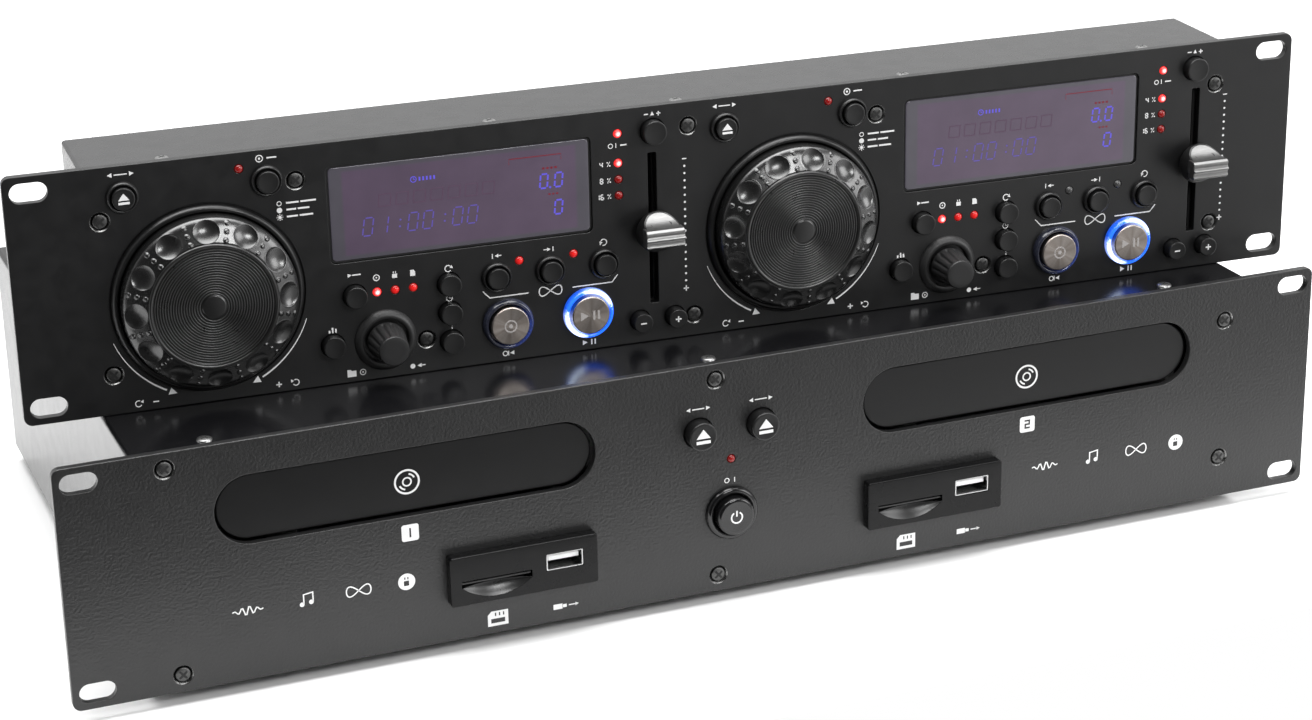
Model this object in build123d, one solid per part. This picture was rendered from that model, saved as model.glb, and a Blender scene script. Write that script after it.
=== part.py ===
from build123d import *
import os

os.makedirs("parts", exist_ok=True)

# Dual CD player for a DJ: a two-unit set of 19-inch rack units, each 2U high.
# The drive unit carries the disc trays; the controller unit stands on its top cover.
# Millimetres. X to the right, Y to the back, Z up, seen from the front.

# ---------------------------------------------------------------- driving dimensions
RACK_W = 482.6            # 19-inch front panel width
RACK_H = 88.1             # 2U front panel height
PANEL_T = 3.0             # front panel thickness
PANEL_R = 3.0             # front panel corner radius
SLOT_SPAN_X = 465.1       # rack slot spacing across
SLOT_SPAN_Z = 76.2        # rack slot spacing up
SLOT_LEN = 12.7           # rack slot length
SLOT_W = 7.0              # rack slot width
SHEET = 1.2               # sheet metal thickness

# drive unit
DRV_HALF = 215.0          # half width of the drive body
DRV_TOP = 86.5            # top of the drive body above the panel's lower edge
DRV_BOT = 1.5             # underside of the drive body
DRV_DEPTH = 245.0         # depth of the drive body behind the panel face
FOOT_H = 6.5              # rubber foot height
FOOT_R = 10.0
FOOT_X, FOOT_Y1, FOOT_Y2 = 170.0, 38.0, 212.0
TRAY_X = 120.2            # tray centre from the middle
TRAY_Z = 62.9             # tray opening centre height
TRAY_W, TRAY_H = 136.5, 25.3   # tray opening
TRAY_GAP = 0.9            # gap round a tray fascia
TRAY_RECESS = 2.5         # fascia stands this far behind the panel face
TRAY_TRAVEL = 135.0
DISC_Y = 72.0             # disc centre behind the panel face, tray closed
EJECT_X = (228.5, 252.7)  # open/close buttons, from the panel's left end
EJECT_Z, EJECT_R, EJECT_PROUD = 62.9, 5.3, 4.8
POWER_X, POWER_Z, POWER_R, POWER_PROUD = 240.8, 30.1, 7.2, 5.3
POWER_BEZEL_R = 10.1
DRV_LED = (241.0, 50.9)
MODULE_X = (160.2, 320.8)
MODULE_Z, MODULE_W, MODULE_H, MODULE_PROUD = 24.05, 54.8, 18.7, 4.5
DRV_SCREWS = [(37.3, 82.1), (38.0, 6.4), (235.3, 82.1), (235.5, 6.4), (444.5, 72.4), (444.8, 16.4)]
COVER_SCREW_X = (53.5, 236.5, 423.0)
COVER_SCREW_Y = (9.5, 238.0)

# controller unit
CTL_Y = 34.0              # controller panel face behind the drive's panel face, at the middle
CTL_Z = 86.6              # controller's underside
CTL_YAW = -2.8            # it stands turned a little on the drive
CTL_HALF = 215.0
CTL_DEPTH = 42.5
CTL_TOP = 86.6
DECK_DX = 214.6           # second deck to the right of the first
BOARD_Y = 12.0            # front of the controller board behind the panel face
TRAVEL = 1.0              # button travel
CAP_GAP = 0.35            # clearance between a cap and its hole
JOG = (65.7, 38.0)
JOG_R, JOG_HOLE_R, JOG_BEZEL_R, JOG_PROUD = 30.4, 31.2, 33.5, 11.0
JOG2_DX = 214.5
WINDOW = (156.35, 61.75, 94.6, 34.9)
KNOB = (126.7, 14.2)
KNOB_R, KNOB_TIP_R, KNOB_PROUD, KNOB_RING_R = 7.0, 5.3, 13.0, 11.2
FADER_X, FADER_Z, FADER_SLOT_W, FADER_SLOT_L = 226.5, 42.75, 3.3, 56.3
FADER_TRAVEL = 22.5
FADER_PROUD = 15.0
LIGHT_RING_R = 9.3
# buttons of one deck: name -> (x, z, cap radius, proud, collar)
BUTTONS = {
    "open_button": (39.4, 77.1, 3.9, 3.2, True),
    "jog_mode_button": (88.4, 77.1, 3.9, 3.2, True),
    "source_button": (116.6, 31.8, 4.0, 3.4, False),
    "bpm_button": (107.9, 14.6, 4.0, 3.4, False),
    "repeat_button": (150.4, 31.8, 4.0, 3.4, False),
    "time_button": (150.4, 21.1, 4.0, 3.4, False),
    "single_button": (150.5, 10.4, 4.0, 3.4, False),
    "loop_in_button": (167.8, 32.0, 3.9, 3.2, True),
    "loop_out_button": (187.6, 32.0, 3.9, 3.2, True),
    "reloop_button": (207.7, 32.0, 3.9, 3.2, True),
    "pitch_button": (226.9, 78.7, 4.4, 3.4, False),
    "bend_minus_button": (220.8, 8.6, 3.6, 4.4, False),
    "bend_plus_button": (234.0, 8.6, 3.6, 4.4, False),
}
CUE, PLAY, BIG_R, BIG_PROUD = (171.3, 14.3), (201.2, 14.3), 7.0, 4.0
LEDS = [(79.2, 82.2), (124.6, 32.1), (131.1, 32.1), (137.6, 32.1), (176.4, 37.0), (196.5, 37.0),
        (213.9, 79.2), (213.9, 68.4), (213.9, 62.4), (213.9, 56.5)]
LED_R = 1.5
CTL_SCREWS = [(31.3, 69.3), (98.4, 75.9), (31.5, 14.4), (141.6, 12.3), (240.3, 79.2), (241.6, 8.1),
              (312.6, 75.3), (356.0, 12.2), (450.7, 71.7), (450.7, 17.2)]
CASE_SCREW_X = (54.8, 169.5, 238.3, 326.0, 423.0)

# the row's origin: middle of the bounding box, at the feet
ORIGIN_Y = 124.35
ORIGIN_Z = DRV_BOT - FOOT_H

ROW = Location((0, -ORIGIN_Y, -ORIGIN_Z))
CTL = ROW * Location((0, CTL_Y, CTL_Z), (0, 0, CTL_YAW))


# ---------------------------------------------------------------- helpers
def P(x):
    """x from the panel's left end to x from the middle."""
    return x - RACK_W / 2


def pr(sketch, y0, y1):
    """A sketch in the plane of the panel (x, z), as a solid from depth y0 to y1."""
    return Pos(0, y1, 0) * extrude(Plane.XZ * sketch, amount=y1 - y0)


def circ(x, z, r, y0, y1):
    return pr(Pos(x, z) * Circle(r), y0, y1)


def rect(x, z, w, h, y0, y1, rad=0.0):
    return pr(Pos(x, z) * (RectangleRounded(w, h, rad) if rad else Rectangle(w, h)), y0, y1)


def slot(x, z, w, h, y0, y1):
    return pr(Pos(x, z) * SlotOverall(w, h), y0, y1)


def vslot(x, z, w, h, y0, y1):
    return pr(Pos(x, z) * SlotOverall(h, w, rotation=90), y0, y1)


def ring(x, z, ro, ri, y0, y1):
    return pr(Pos(x, z) * (Circle(ro) - Circle(ri)), y0, y1)


def box(x0, x1, y0, y1, z0, z1):
    return Pos((x0 + x1) / 2, (y0 + y1) / 2, (z0 + z1) / 2) * Box(x1 - x0, y1 - y0, z1 - z0)


def cylz(x, y, r, z0, z1):
    return Pos(x, y, (z0 + z1) / 2) * Cylinder(r, z1 - z0)


def turned(x, z, points):
    """A body of revolution about the line through (x, z) along Y, from (radius, depth) points."""
    face = make_face(Polyline(*[(r, y) for r, y in points], close=True))
    return Pos(x, 0, z) * revolve(face, Axis.Y)


def turned_z(x, y, points):
    """A body of revolution about a vertical line, from (radius, z) points."""
    face = make_face(Plane.XZ * Polyline(*[(r, z) for r, z in points], close=True))
    return Pos(x, y, 0) * revolve(face, Axis.Z)


def cap(x, z, r, proud, flange, rear=6.2, step=3.4):
    """A push button: domed cap, body through its hole, retaining flange and rear stem."""
    c = min(0.5, r / 6)
    return turned(x, z, [(0, -proud), (r - c, -proud), (r, -proud + c), (r, step), (flange, step),
                         (flange, step + 1.2), (2.4, step + 1.2), (2.4, rear), (0, rear)])


def screw(x, z, head_r=3.2, proud=1.4, length=7.0):
    """A pan-head screw with a cross recess, its head in front of the face at y = 0."""
    s = turned(x, z, [(0, -proud), (head_r * 0.55, -proud), (head_r * 0.9, -proud * 0.55), (head_r, 0),
                      (1.5, 0), (1.5, length), (0, length)])
    d = proud * 0.75
    cross = [rect(x, z, head_r * 1.05, 0.7, -proud - 0.1, -proud + d), rect(x, z, 0.7, head_r * 1.05, -proud - 0.1, -proud + d)]
    return s - cross


def flush_screw(x, z, length=7.0):
    """A countersunk screw with a cross recess, its head just below the face at y = 0."""
    s = turned(x, z, [(0, 0.05), (1.9, 0.1), (2.45, 0.3), (2.6, 0.55), (2.6, 0.8), (1.5, 1.9), (1.5, length), (0, length)])
    return s - [rect(x, z, 2.8, 0.6, -0.5, 1.2), rect(x, z, 0.6, 2.8, -0.5, 1.2)]


def sink(x, z, rim=3.45):
    """The countersink for a flush screw: a wide dimple over the screw's own seat."""
    return turned(x, z, [(0, -1.0), (rim, -1.0), (rim, 0.0), (2.6, 0.8), (1.7, 1.7), (1.7, 9.0), (0, 9.0)])


def screw_down(x, y, z, head_r=2.8, proud=1.0, length=5.0):
    """The same screw, driven down into a top face at height z."""
    return Pos(x, y, z) * Rot(-90, 0, 0) * screw(0, 0, head_r, proud, length)


def solids_of(shape):
    out = []
    for s in (shape if isinstance(shape, (list, tuple)) else [shape]):
        out += list(s.solids())
    return out


NODES = {}


def node(name, shapes, place):
    NODES[name] = Compound([place * s for s in solids_of(shapes)])


# ---------------------------------------------------------------- rack slots, shared
SLOTS_XZ = [(sx * SLOT_SPAN_X / 2, RACK_H / 2 + sz * SLOT_SPAN_Z / 2) for sx in (-1, 1) for sz in (-1, 1)]


def blank_panel():
    return rect(0, RACK_H / 2, RACK_W, RACK_H, 0, PANEL_T, PANEL_R) - [slot(x, z, SLOT_LEN, SLOT_W, -1, 9) for x, z in SLOTS_XZ]


# ================================================================ DRIVE UNIT
cuts = [slot(sx * TRAY_X, TRAY_Z, TRAY_W, TRAY_H, -1, 9) for sx in (-1, 1)]
cuts += [circ(P(x), EJECT_Z, EJECT_R + 0.4, -1, 9) for x in EJECT_X]
cuts += [circ(P(DRV_LED[0]), DRV_LED[1], LED_R + 0.1, -1, 9), circ(P(POWER_X), POWER_Z, 9.0, -1, 9)]
cuts += [rect(P(x), MODULE_Z, MODULE_W - 2.2, MODULE_H - 2.2, -1, 9) for x in MODULE_X]
cuts += [sink(P(x), z, 3.55) for x, z in DRV_SCREWS]
node("drive_front_panel", blank_panel() - cuts, ROW)

# chassis: folded sheet tray with front wall, rear wall, side lips and top lips
CH = DRV_HALF - SHEET
Y_REAR = DRV_DEPTH
REAR_SOCKETS = [(-168, 56, 4.3), (-168, 36, 4.3), (-140, 56, 4.3), (-140, 36, 4.3),   # deck 2 and deck 1 left and right
                (-112, 56, 4.3), (-112, 36, 4.3),                                   # digital outputs
                (-84, 56, 3.3), (-84, 36, 3.3),                                     # start jacks
                (-52, 46, 5.5), (-24, 46, 5.5)]                                     # controller links
INLET = (170.0, 46.0)
chassis = box(-CH, CH, PANEL_T, Y_REAR, DRV_BOT, DRV_BOT + SHEET)
chassis += box(-CH, CH, PANEL_T, PANEL_T + SHEET, DRV_BOT, 85.3)
chassis += box(-CH, CH, Y_REAR - SHEET, Y_REAR, DRV_BOT, 85.3)
chassis += [box(s * CH - (0 if s < 0 else SHEET), s * CH + (SHEET if s < 0 else 0), PANEL_T, Y_REAR, DRV_BOT, 15.0) for s in (-1, 1)]
chassis += box(-CH, CH, PANEL_T, 18.0, 84.1, 85.3)
chassis += box(-CH, CH, 229.0, Y_REAR, 84.1, 85.3)
cuts = [slot(s * TRAY_X, TRAY_Z, TRAY_W + 3, TRAY_H + 3, 0, 12) for s in (-1, 1)]
cuts += [rect(P(240.6), 46.0, 46.0, 60.0, 0, 12)]
cuts += [rect(P(x), MODULE_Z, MODULE_W - 1.2, MODULE_H - 1.2, 0, 12) for x in MODULE_X]
cuts += [circ(P(x), z, 1.7, 0, 12) for x, z in DRV_SCREWS]
cuts += [circ(x, z, r, 230, 250) for x, z, r in REAR_SOCKETS]
cuts += [rect(INLET[0], INLET[1], 27.4, 20.4, 230, 250)]
cuts += [vslot(x, 46.0, 3.0, 40.0, 230, 250) for x in range(20, 121, 10)]
cuts += [cylz(P(x), y, 1.6, 80, 90) for x in COVER_SCREW_X for y in COVER_SCREW_Y]
cuts += [cylz(sx * FOOT_X, y, 1.8, 0, 5) for sx in (-1, 1) for y in (FOOT_Y1, FOOT_Y2)]
node("drive_chassis", chassis - cuts, ROW)

# top cover: inverted U of sheet
cover = rect(0, 50.0, 2 * DRV_HALF, 2 * (DRV_TOP - 50.0), PANEL_T, Y_REAR, 1.5)
cover = cover - rect(0, 40.0, 2 * CH, 2 * (DRV_TOP - SHEET - 40.0), 0, 260)
cover = cover - box(-300, 300, -5, 260, -20, 16.0)
cover = cover + [box(s * DRV_HALF - (0 if s < 0 else SHEET), s * DRV_HALF + (SHEET if s < 0 else 0), PANEL_T, Y_REAR, 2.0, 20.0) for s in (-1, 1)]
cover = cover - [cylz(P(x), y, 1.6, 80, 90) for x in COVER_SCREW_X for y in COVER_SCREW_Y]
node("drive_top_cover", cover, ROW)

# rubber feet under the chassis
feet = []
for sx in (-1, 1):
    for y in (FOOT_Y1, FOOT_Y2):
        feet.append(turned_z(sx * FOOT_X, y, [(2.0, DRV_BOT), (FOOT_R, DRV_BOT), (FOOT_R - 1.2, DRV_BOT - FOOT_H + 0.6), (FOOT_R - 1.8, DRV_BOT - FOOT_H),
                                               (4.5, DRV_BOT - FOOT_H), (4.5, DRV_BOT - 2.5), (2.0, DRV_BOT - 2.5)]))
node("rubber_feet", feet, ROW)

# disc loader mechanisms: guide frame, clamp bridge, clamp puck, hub motor, optical sled, loading motor
loaders = []
for s in (-1, 1):
    xc = s * TRAY_X
    f = box(xc - 69, xc + 69, 12, 205, 36.0, 38.5)
    f += [box(xc + a, xc + b, 12, 205, 38.5, 64.0) for a, b in ((-69, -65.5), (65.5, 69))]
    f += [box(xc + a, xc + b, 12, 205, 53.3, 55.5) for a, b in ((-66, -61.8), (61.8, 66))]
    f += [box(xc + a, xc + b, y, y + 20, 60.5, 62.5) for a, b in ((-66, -61.8), (61.8, 66)) for y in (30, 150)]
    f += [cylz(xc + dx, y, 4.0, DRV_BOT + SHEET, 36.5) for dx in (-55, 55) for y in (45, 190)]
    loaders.append(f)
    b = box(xc - 69, xc + 69, 58, 86, 72.0, 74.0)
    b += [box(xc + a, xc + c, 58, 86, 64.0, 73.0) for a, c in ((-69, -65.5), (65.5, 69))]
    loaders.append(b)
    loaders.append(turned_z(xc, DISC_Y, [(0, 65.0), (14.0, 65.0), (16.0, 66.2), (16.0, 67.4), (9.0, 68.4), (9.0, 72.0), (0, 72.0)]))
    loaders.append(cylz(xc, DISC_Y, 12.0, 38.5, 46.0) - cylz(xc, DISC_Y, 1.6, 40.0, 47.0))
    loaders.append(box(xc - 9, xc + 9, 92, 112, 38.5, 47.0) + cylz(xc, 97, 3.0, 46.5, 49.0))
    loaders.append(cylz(xc - 40, 26, 6.0, 38.5, 47.0) + cylz(xc - 40, 26, 9.0, 47.0, 49.5))
node("loader_frames", loaders, ROW)

# trays: tray plate with disc recesses, rails below, and a fascia in front
for i, s in ((1, -1), (2, 1)):
    xc = s * TRAY_X
    fascia = slot(xc, TRAY_Z, TRAY_W - 2 * TRAY_GAP, TRAY_H - 2 * TRAY_GAP, TRAY_RECESS, 6.0)
    t = box(xc - 64, xc + 64, 6.0, 165.0, 56.0, 60.0)
    t = t - [cylz(xc, DISC_Y, 60.75, 58.2, 61.0), cylz(xc, DISC_Y, 41.0, 57.2, 61.0)]
    t = t - (box(xc - 18, xc + 18, 72, 112, 50, 61) + cylz(xc, 72, 18.0, 50, 61) + cylz(xc, 112, 18.0, 50, 61))
    t = t + [box(xc + a, xc + b, 6.0, 165.0, 52.0, 56.0) for a, b in ((-61, -57), (57, 61))]
    t = t + box(xc - 57.5, xc - 54.0, 12.0, 160.0, 52.0, 56.0)
    t = t + box(xc - 50, xc + 50, 6.0, 8.0, 53.5, 72.0)
    node(f"disc_tray_{i}", [fascia, t], ROW)
    node(f"disc_hub_{i}", turned_z(xc, DISC_Y, [(0, 46.6), (1.2, 46.6), (1.2, 50.0), (14.5, 50.0), (14.5, 52.0), (7.3, 52.0), (7.3, 53.6), (5.5, 54.8), (0, 54.8)]), ROW)

# boards: main board, power supply with its transformer, front switch board
boards = []
holes = [cylz(s * TRAY_X + dx, 190, 5.0, 0, 20) for s in (-1, 1) for dx in (-55, 55)]
boards.append(box(-205, 60, 62, 236, 9.0, 10.6) - holes)
boards.append(box(80, 205, 110, 236, 9.0, 10.6) - holes)
boards += [cylz(x, y, 3.0, DRV_BOT + SHEET, 9.0) for x, y in ((-198, 70), (-198, 228), (50, 70), (50, 228), (88, 118), (88, 228), (197, 118), (197, 228))]
boards += [box(x, x + 22, y, y + 22, 10.6, 12.6) for x, y in ((-150, 100), (-40, 100), (0, 150))]
boards += [cylz(x, y, 5.0, 10.6, 26.0) for x, y in ((20, 205), (34, 205), (100, 205), (114, 205))]
boards.append(box(108, 158, 135, 180, 10.6, 33.0))
boards.append(box(P(220), P(261), 14.0, 15.6, 9.0, 81.0))
boards += [circ(P(226), z, 2.5, PANEL_T + SHEET, 14.0) for z in (12.0, 79.0)] + [circ(P(255), z, 2.5, PANEL_T + SHEET, 14.0) for z in (12.0, 79.0)]
boards += [rect(P(x), EJECT_Z, 7.0, 7.0, 9.6, 14.0) for x in EJECT_X] + [rect(P(POWER_X), POWER_Z, 14.0, 14.0, 12.2, 14.0)]
node("drive_boards", boards, ROW)

# card and USB modules, power bezel and indicator lens
fit = []
for x in MODULE_X:
    xc = P(x)
    m = rect(xc, MODULE_Z, MODULE_W, MODULE_H, -MODULE_PROUD, 0, 1.0) + rect(xc, MODULE_Z, MODULE_W - 2.8, MODULE_H - 2.8, 0, 30)
    front = -MODULE_PROUD
    left, low = xc - MODULE_W / 2, MODULE_Z - MODULE_H / 2
    sx, sz = left + 17.1, low + 8.0                       # card slot
    m = m - rect(sx, sz, 26.0, 2.5, front - 1, 24.0)
    scoop_r = 19.4                                        # finger recess under the slot
    disc = circ(sx, sz + scoop_r - 6.0, scoop_r, front - 2, front + 6)
    wedge = Pos(sx - 20, 0, 0) * extrude(Plane.YZ * make_face(Polyline((front - 1, sz - 7.5), (front - 1, sz + 0.5), (front + 3.2, sz + 0.5), close=True)), amount=40)
    m = m - (disc & wedge)
    ux, uz = left + 42.3, low + 10.8                      # USB socket
    m = m - rect(ux, uz, 14.0, 6.6, front - 1, 16.0, 0.4)
    fit.append(m)
    fit.append(rect(ux, uz, 13.7, 6.3, front + 0.1, 15.9, 0.4) - rect(ux, uz, 12.7, 5.3, front - 1, 15.0, 0.3))
    fit.append(rect(ux, uz + 0.9, 11.4, 1.9, front + 1.6, 15.0))
px, pz = P(POWER_X), POWER_Z
fit.append(turned(px, pz, [(7.6, -1.6), (8.1, -2.0), (9.4, -2.0), (POWER_BEZEL_R, -1.2), (POWER_BEZEL_R, 0), (8.8, 0), (8.8, 6.0), (7.6, 6.0)]))
fit.append(turned(P(DRV_LED[0]), DRV_LED[1], [(0, -0.9), (0.8, -0.75), (LED_R, 0), (LED_R, 14.0), (0, 14.0)]))
node("drive_front_fittings", fit, ROW)

for i, x in enumerate(EJECT_X, 1):
    node(f"drive_open_button_{i}", cap(P(x), EJECT_Z, EJECT_R, EJECT_PROUD, 6.6, rear=8.0), ROW)
node("power_button", cap(P(POWER_X), POWER_Z, POWER_R, POWER_PROUD, 8.6, rear=8.8, step=6.4), ROW)

# rear sockets and mains inlet
rear = []
for x, z, r in REAR_SOCKETS:
    if r == 4.3:      # phono socket
        rear.append(ring(x, z, 4.1, 1.7, Y_REAR - 8, Y_REAR + 9))
        rear.append(ring(x, z, 5.6, 4.1, Y_REAR, Y_REAR + 1.0))
    elif r == 3.3:    # start jack
        rear.append(ring(x, z, 3.1, 1.8, Y_REAR - 10, Y_REAR + 2.5))
        rear.append(ring(x, z, 4.6, 3.1, Y_REAR, Y_REAR + 1.2))
    else:             # link socket
        rear.append(circ(x, z, 5.3, Y_REAR - 10, Y_REAR + 1.0) - (circ(x, z, 4.4, Y_REAR - 2.5, Y_REAR + 2) - circ(x, z + 1.8, 0.9, Y_REAR - 3, Y_REAR + 3)))
ix, iz = INLET
inlet = rect(ix, iz, 30.0, 23.0, Y_REAR, Y_REAR + 2.0, 2.0) + rect(ix, iz, 27.0, 20.0, Y_REAR - 16, Y_REAR, 1.5)
inlet = inlet - rect(ix, iz, 23.0, 16.0, Y_REAR - 13, Y_REAR + 3, 1.0)
rear.append(inlet)
rear += [box(ix + dx - 1.0, ix + dx + 1.0, Y_REAR - 13, Y_REAR - 1, iz + dz - 2, iz + dz + 2) for dx, dz in ((-7, -2), (0, 2), (7, -2))]
node("rear_sockets", rear, ROW)

screws = [flush_screw(P(x), z) for x, z in DRV_SCREWS]
screws += [screw_down(P(x), y, DRV_TOP) for x in COVER_SCREW_X for y in COVER_SCREW_Y]
node("drive_screws", screws, ROW)

# ================================================================ CONTROLLER UNIT
decks = (0.0, DECK_DX)
jogs = [(P(JOG[0] + dx), JOG[1]) for dx in (0.0, JOG2_DX)]
knobs = [(P(KNOB[0] + dx), KNOB[1]) for dx in decks]
faders = [(P(FADER_X + dx * 1.007), FADER_Z) for dx in decks]
cues = [(P(CUE[0] + dx), CUE[1]) for dx in decks]
plays = [(P(PLAY[0] + dx), PLAY[1]) for dx in decks]
leds = [(P(x + dx), z) for dx in decks for x, z in LEDS]

cuts = [circ(x, z, JOG_HOLE_R, -1, 9) for x, z in jogs]
cuts += [rect(P(WINDOW[0] + dx), WINDOW[1], WINDOW[2] + 0.3, WINDOW[3] + 0.3, -1, 9, 2.0) for dx in decks]
cuts += [circ(x, z, 5.0, -1, 9) for x, z in knobs]
cuts += [vslot(x, z, FADER_SLOT_W, FADER_SLOT_L, -1, 9) for x, z in faders]
cuts += [circ(x, z, 8.7, -1, 9) for x, z in cues + plays]
cuts += [circ(x, z, LED_R + 0.1, -1, 9) for x, z in leds]
cuts += [sink(P(x), z) for x, z in CTL_SCREWS]
cuts += [circ(P(x + dx), z, r + CAP_GAP, -1, 9) for dx in decks for x, z, r, _, _ in BUTTONS.values()]
node("controller_front_panel", blank_panel() - cuts, CTL)

# case: folded shell behind the panel, open in front
case = rect(0, CTL_TOP / 2, 2 * CTL_HALF, CTL_TOP, PANEL_T, CTL_DEPTH, 1.2) - rect(0, CTL_TOP / 2, 2 * (CTL_HALF - SHEET), CTL_TOP - 2 * SHEET, 0, CTL_DEPTH - SHEET)
case = case - [circ(x, 43.0, 5.2, 38, 45) for x in (-30, 30)]
case = case - [cylz(P(x), 7.5, 1.6, 80, 90) for x in CASE_SCREW_X]
node("controller_case", case, CTL)

# fixed trim: collars, jog bezels, knob base rings
trim = []
for dx in decks:
    for x, z, r, _, collar in BUTTONS.values():
        if collar:
            trim.append(turned(P(x + dx), z, [(r + CAP_GAP, 0), (r + CAP_GAP, -1.5), (r + 0.75, -1.8), (5.1, -1.8), (5.5, -1.3), (5.5, 0)]))
for x, z in jogs:
    trim.append(turned(x, z, [(JOG_HOLE_R, 0), (JOG_HOLE_R, -1.6), (31.5, -1.9), (32.2, -1.9), (32.5, -1.5), (JOG_BEZEL_R, -0.5), (JOG_BEZEL_R, 0)]))
for x, z in knobs:
    trim.append(turned(x, z, [(8.0, 0), (8.0, -1.4), (8.6, -2.1), (9.6, -2.2), (10.6, -1.6), (KNOB_RING_R, -0.4), (KNOB_RING_R, 0)]))
node("controller_trim", trim, CTL)

# lenses: display windows, light rings, indicator lenses
lens = [rect(P(WINDOW[0] + dx), WINDOW[1], WINDOW[2], WINDOW[3], 0.3, 2.6, 1.9) for dx in decks]
for x, z in cues + plays:
    lens.append(turned(x, z, [(7.35, 4.0), (7.35, -2.0), (7.9, -2.7), (8.6, -2.7), (LIGHT_RING_R, -1.6), (LIGHT_RING_R, 0), (8.6, 0), (8.6, 4.0)]))
for x, z in leds:
    lens.append(turned(x, z, [(0, -0.9), (0.8, -0.75), (LED_R, 0), (LED_R, BOARD_Y), (0, BOARD_Y)]))
node("controller_lenses", lens, CTL)

# board: circuit board, switches, display modules, jog bearings, encoders, fader bodies, link sockets, stand-offs
board = [box(-205, 205, BOARD_Y, BOARD_Y + 1.6, 5.0, 84.0)]
for dx in decks:
    for x, z, r, _, _ in BUTTONS.values():
        board.append(rect(P(x + dx), z, 6.2, 6.2, 8.0, BOARD_Y))
    board.append(rect(P(WINDOW[0] + dx), WINDOW[1], 96.0, 36.5, PANEL_T, BOARD_Y))
for x, z in cues + plays:
    board.append(rect(x, z, 10.0, 10.0, 8.4, BOARD_Y))
for x, z in jogs:
    board.append(ring(x, z, 9.0, 3.3, 3.6, BOARD_Y))
for x, z in knobs:
    board.append((rect(x, z, 12.4, 12.4, 5.0, BOARD_Y) + circ(x, z, 4.7, -1.0, 5.5)) - circ(x, z, 3.3, -2.0, 9.8))
for x, z in faders:
    board.append(rect(x, z, 12.0, 60.0, 6.4, BOARD_Y) - vslot(x, z, 2.6, 57.0, 5.0, 11.0))
board += [circ(x, z, 3.0, BOARD_Y + 1.6, CTL_DEPTH - SHEET) for x in (-195, -70, 70, 195) for z in (12, 78)]
for x in (-30, 30):
    board.append(rect(x, 43.0, 14.0, 14.0, BOARD_Y + 1.6, CTL_DEPTH - SHEET) + (circ(x, 43.0, 5.0, CTL_DEPTH - SHEET, CTL_DEPTH + 1.2) - circ(x, 43.0, 4.1, CTL_DEPTH - 1.0, CTL_DEPTH + 2)))
node("controller_board", board, CTL)

screws = [flush_screw(P(x), z) for x, z in CTL_SCREWS]
screws += [screw_down(P(x), 7.5, CTL_TOP, head_r=2.4, proud=0.8, length=4.0) for x in CASE_SCREW_X]
node("controller_screws", screws, CTL)

# moving pieces of each deck
for i, dx in enumerate(decks, 1):
    for name, (x, z, r, proud, collar) in BUTTONS.items():
        fl = r + 0.5 if name.startswith("bend") else r + 1.1
        node(f"{name}_{i}", cap(P(x + dx), z, r, proud, fl, rear=6.6), CTL)
    node(f"cue_button_{i}", cap(*cues[i - 1], BIG_R, BIG_PROUD, 8.3, rear=7.0, step=4.4), CTL)
    node(f"play_button_{i}", cap(*plays[i - 1], BIG_R, BIG_PROUD, 8.3, rear=7.0, step=4.4), CTL)
    jx, jz = jogs[i - 1]
    p = JOG_PROUD
    node(f"jog_wheel_{i}", turned(jx, jz, [(0, -p), (21.6, -p), (22.6, -p + 0.6), (28.6, -p + 3.4), (JOG_R, -p + 5.4), (JOG_R, 2.0), (29.0, 2.0), (29.0, -p + 5.6),
                                           (22.0, -p + 2.4), (4.5, -p + 2.4), (4.5, 2.4), (3.0, 2.4), (3.0, 11.0), (0, 11.0)]), CTL)
    kx, kz = knobs[i - 1]
    node(f"encoder_shaft_{i}", turned(kx, kz, [(0, -11.0), (2.6, -11.0), (3.0, -10.6), (3.0, 8.6), (0, 8.6)]), CTL)
    node(f"track_knob_{i}", turned(kx, kz, [(5.1, -1.4), (KNOB_R, -1.4), (KNOB_R, -3.0), (KNOB_TIP_R + 0.5, -KNOB_PROUD + 0.6), (KNOB_TIP_R, -KNOB_PROUD), (0, -KNOB_PROUD),
                                            (0, -11.4), (3.3, -11.4), (3.3, -5.0), (5.1, -5.0)]), CTL)
    fx, fz = faders[i - 1]
    body = turned(fx, fz, [(0, -2.6), (6.8, -2.6), (7.6, -3.4), (7.6, -10.0), (7.3, -10.8), (6.9, -11.0), (0, -11.0)])
    for s in (-1, 1):     # sloping finger faces above and below the grip bar
        body = body - Pos(fx - 9.0, 0, 0) * extrude(Plane.YZ * make_face(Polyline((-12.0, fz + s * 3.5), (-10.2, fz + s * 3.5), (-8.3, fz + s * 4.6), (-6.4, fz + s * 6.1),
                                                                                 (-4.6, fz + s * 8.2), (-12.0, fz + s * 8.2), close=True)), amount=18.0)
    lever = box(fx - 0.6, fx + 0.6, -2.7, 10.0, fz - 2.0, fz + 2.0)
    grip = Pos(fx - 7.2, 0, 0) * extrude(Plane.YZ * make_face(Polyline((-11.0, fz - 3.5), (-11.0, fz + 3.5), (-14.3, fz + 3.2), (-14.4, fz + 2.9),
                                                                      (-FADER_PROUD, fz), (-14.4, fz - 2.9), (-14.3, fz - 3.2), close=True)), amount=14.4)
    node(f"pitch_fader_{i}", [body + lever, grip], CTL)

# ---------------------------------------------------------------- write
lo, hi = [1e9] * 3, [-1e9] * 3
for name, shape in NODES.items():
    export_step(shape, f"parts/{name}.step")
    b = shape.bounding_box()
    for k, (a, c) in enumerate(((b.min.X, b.max.X), (b.min.Y, b.max.Y), (b.min.Z, b.max.Z))):
        lo[k], hi[k] = min(lo[k], a), max(hi[k], c)
print(len(NODES), "nodes; box", [round(v, 3) for v in lo], [round(v, 3) for v in hi])
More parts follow.
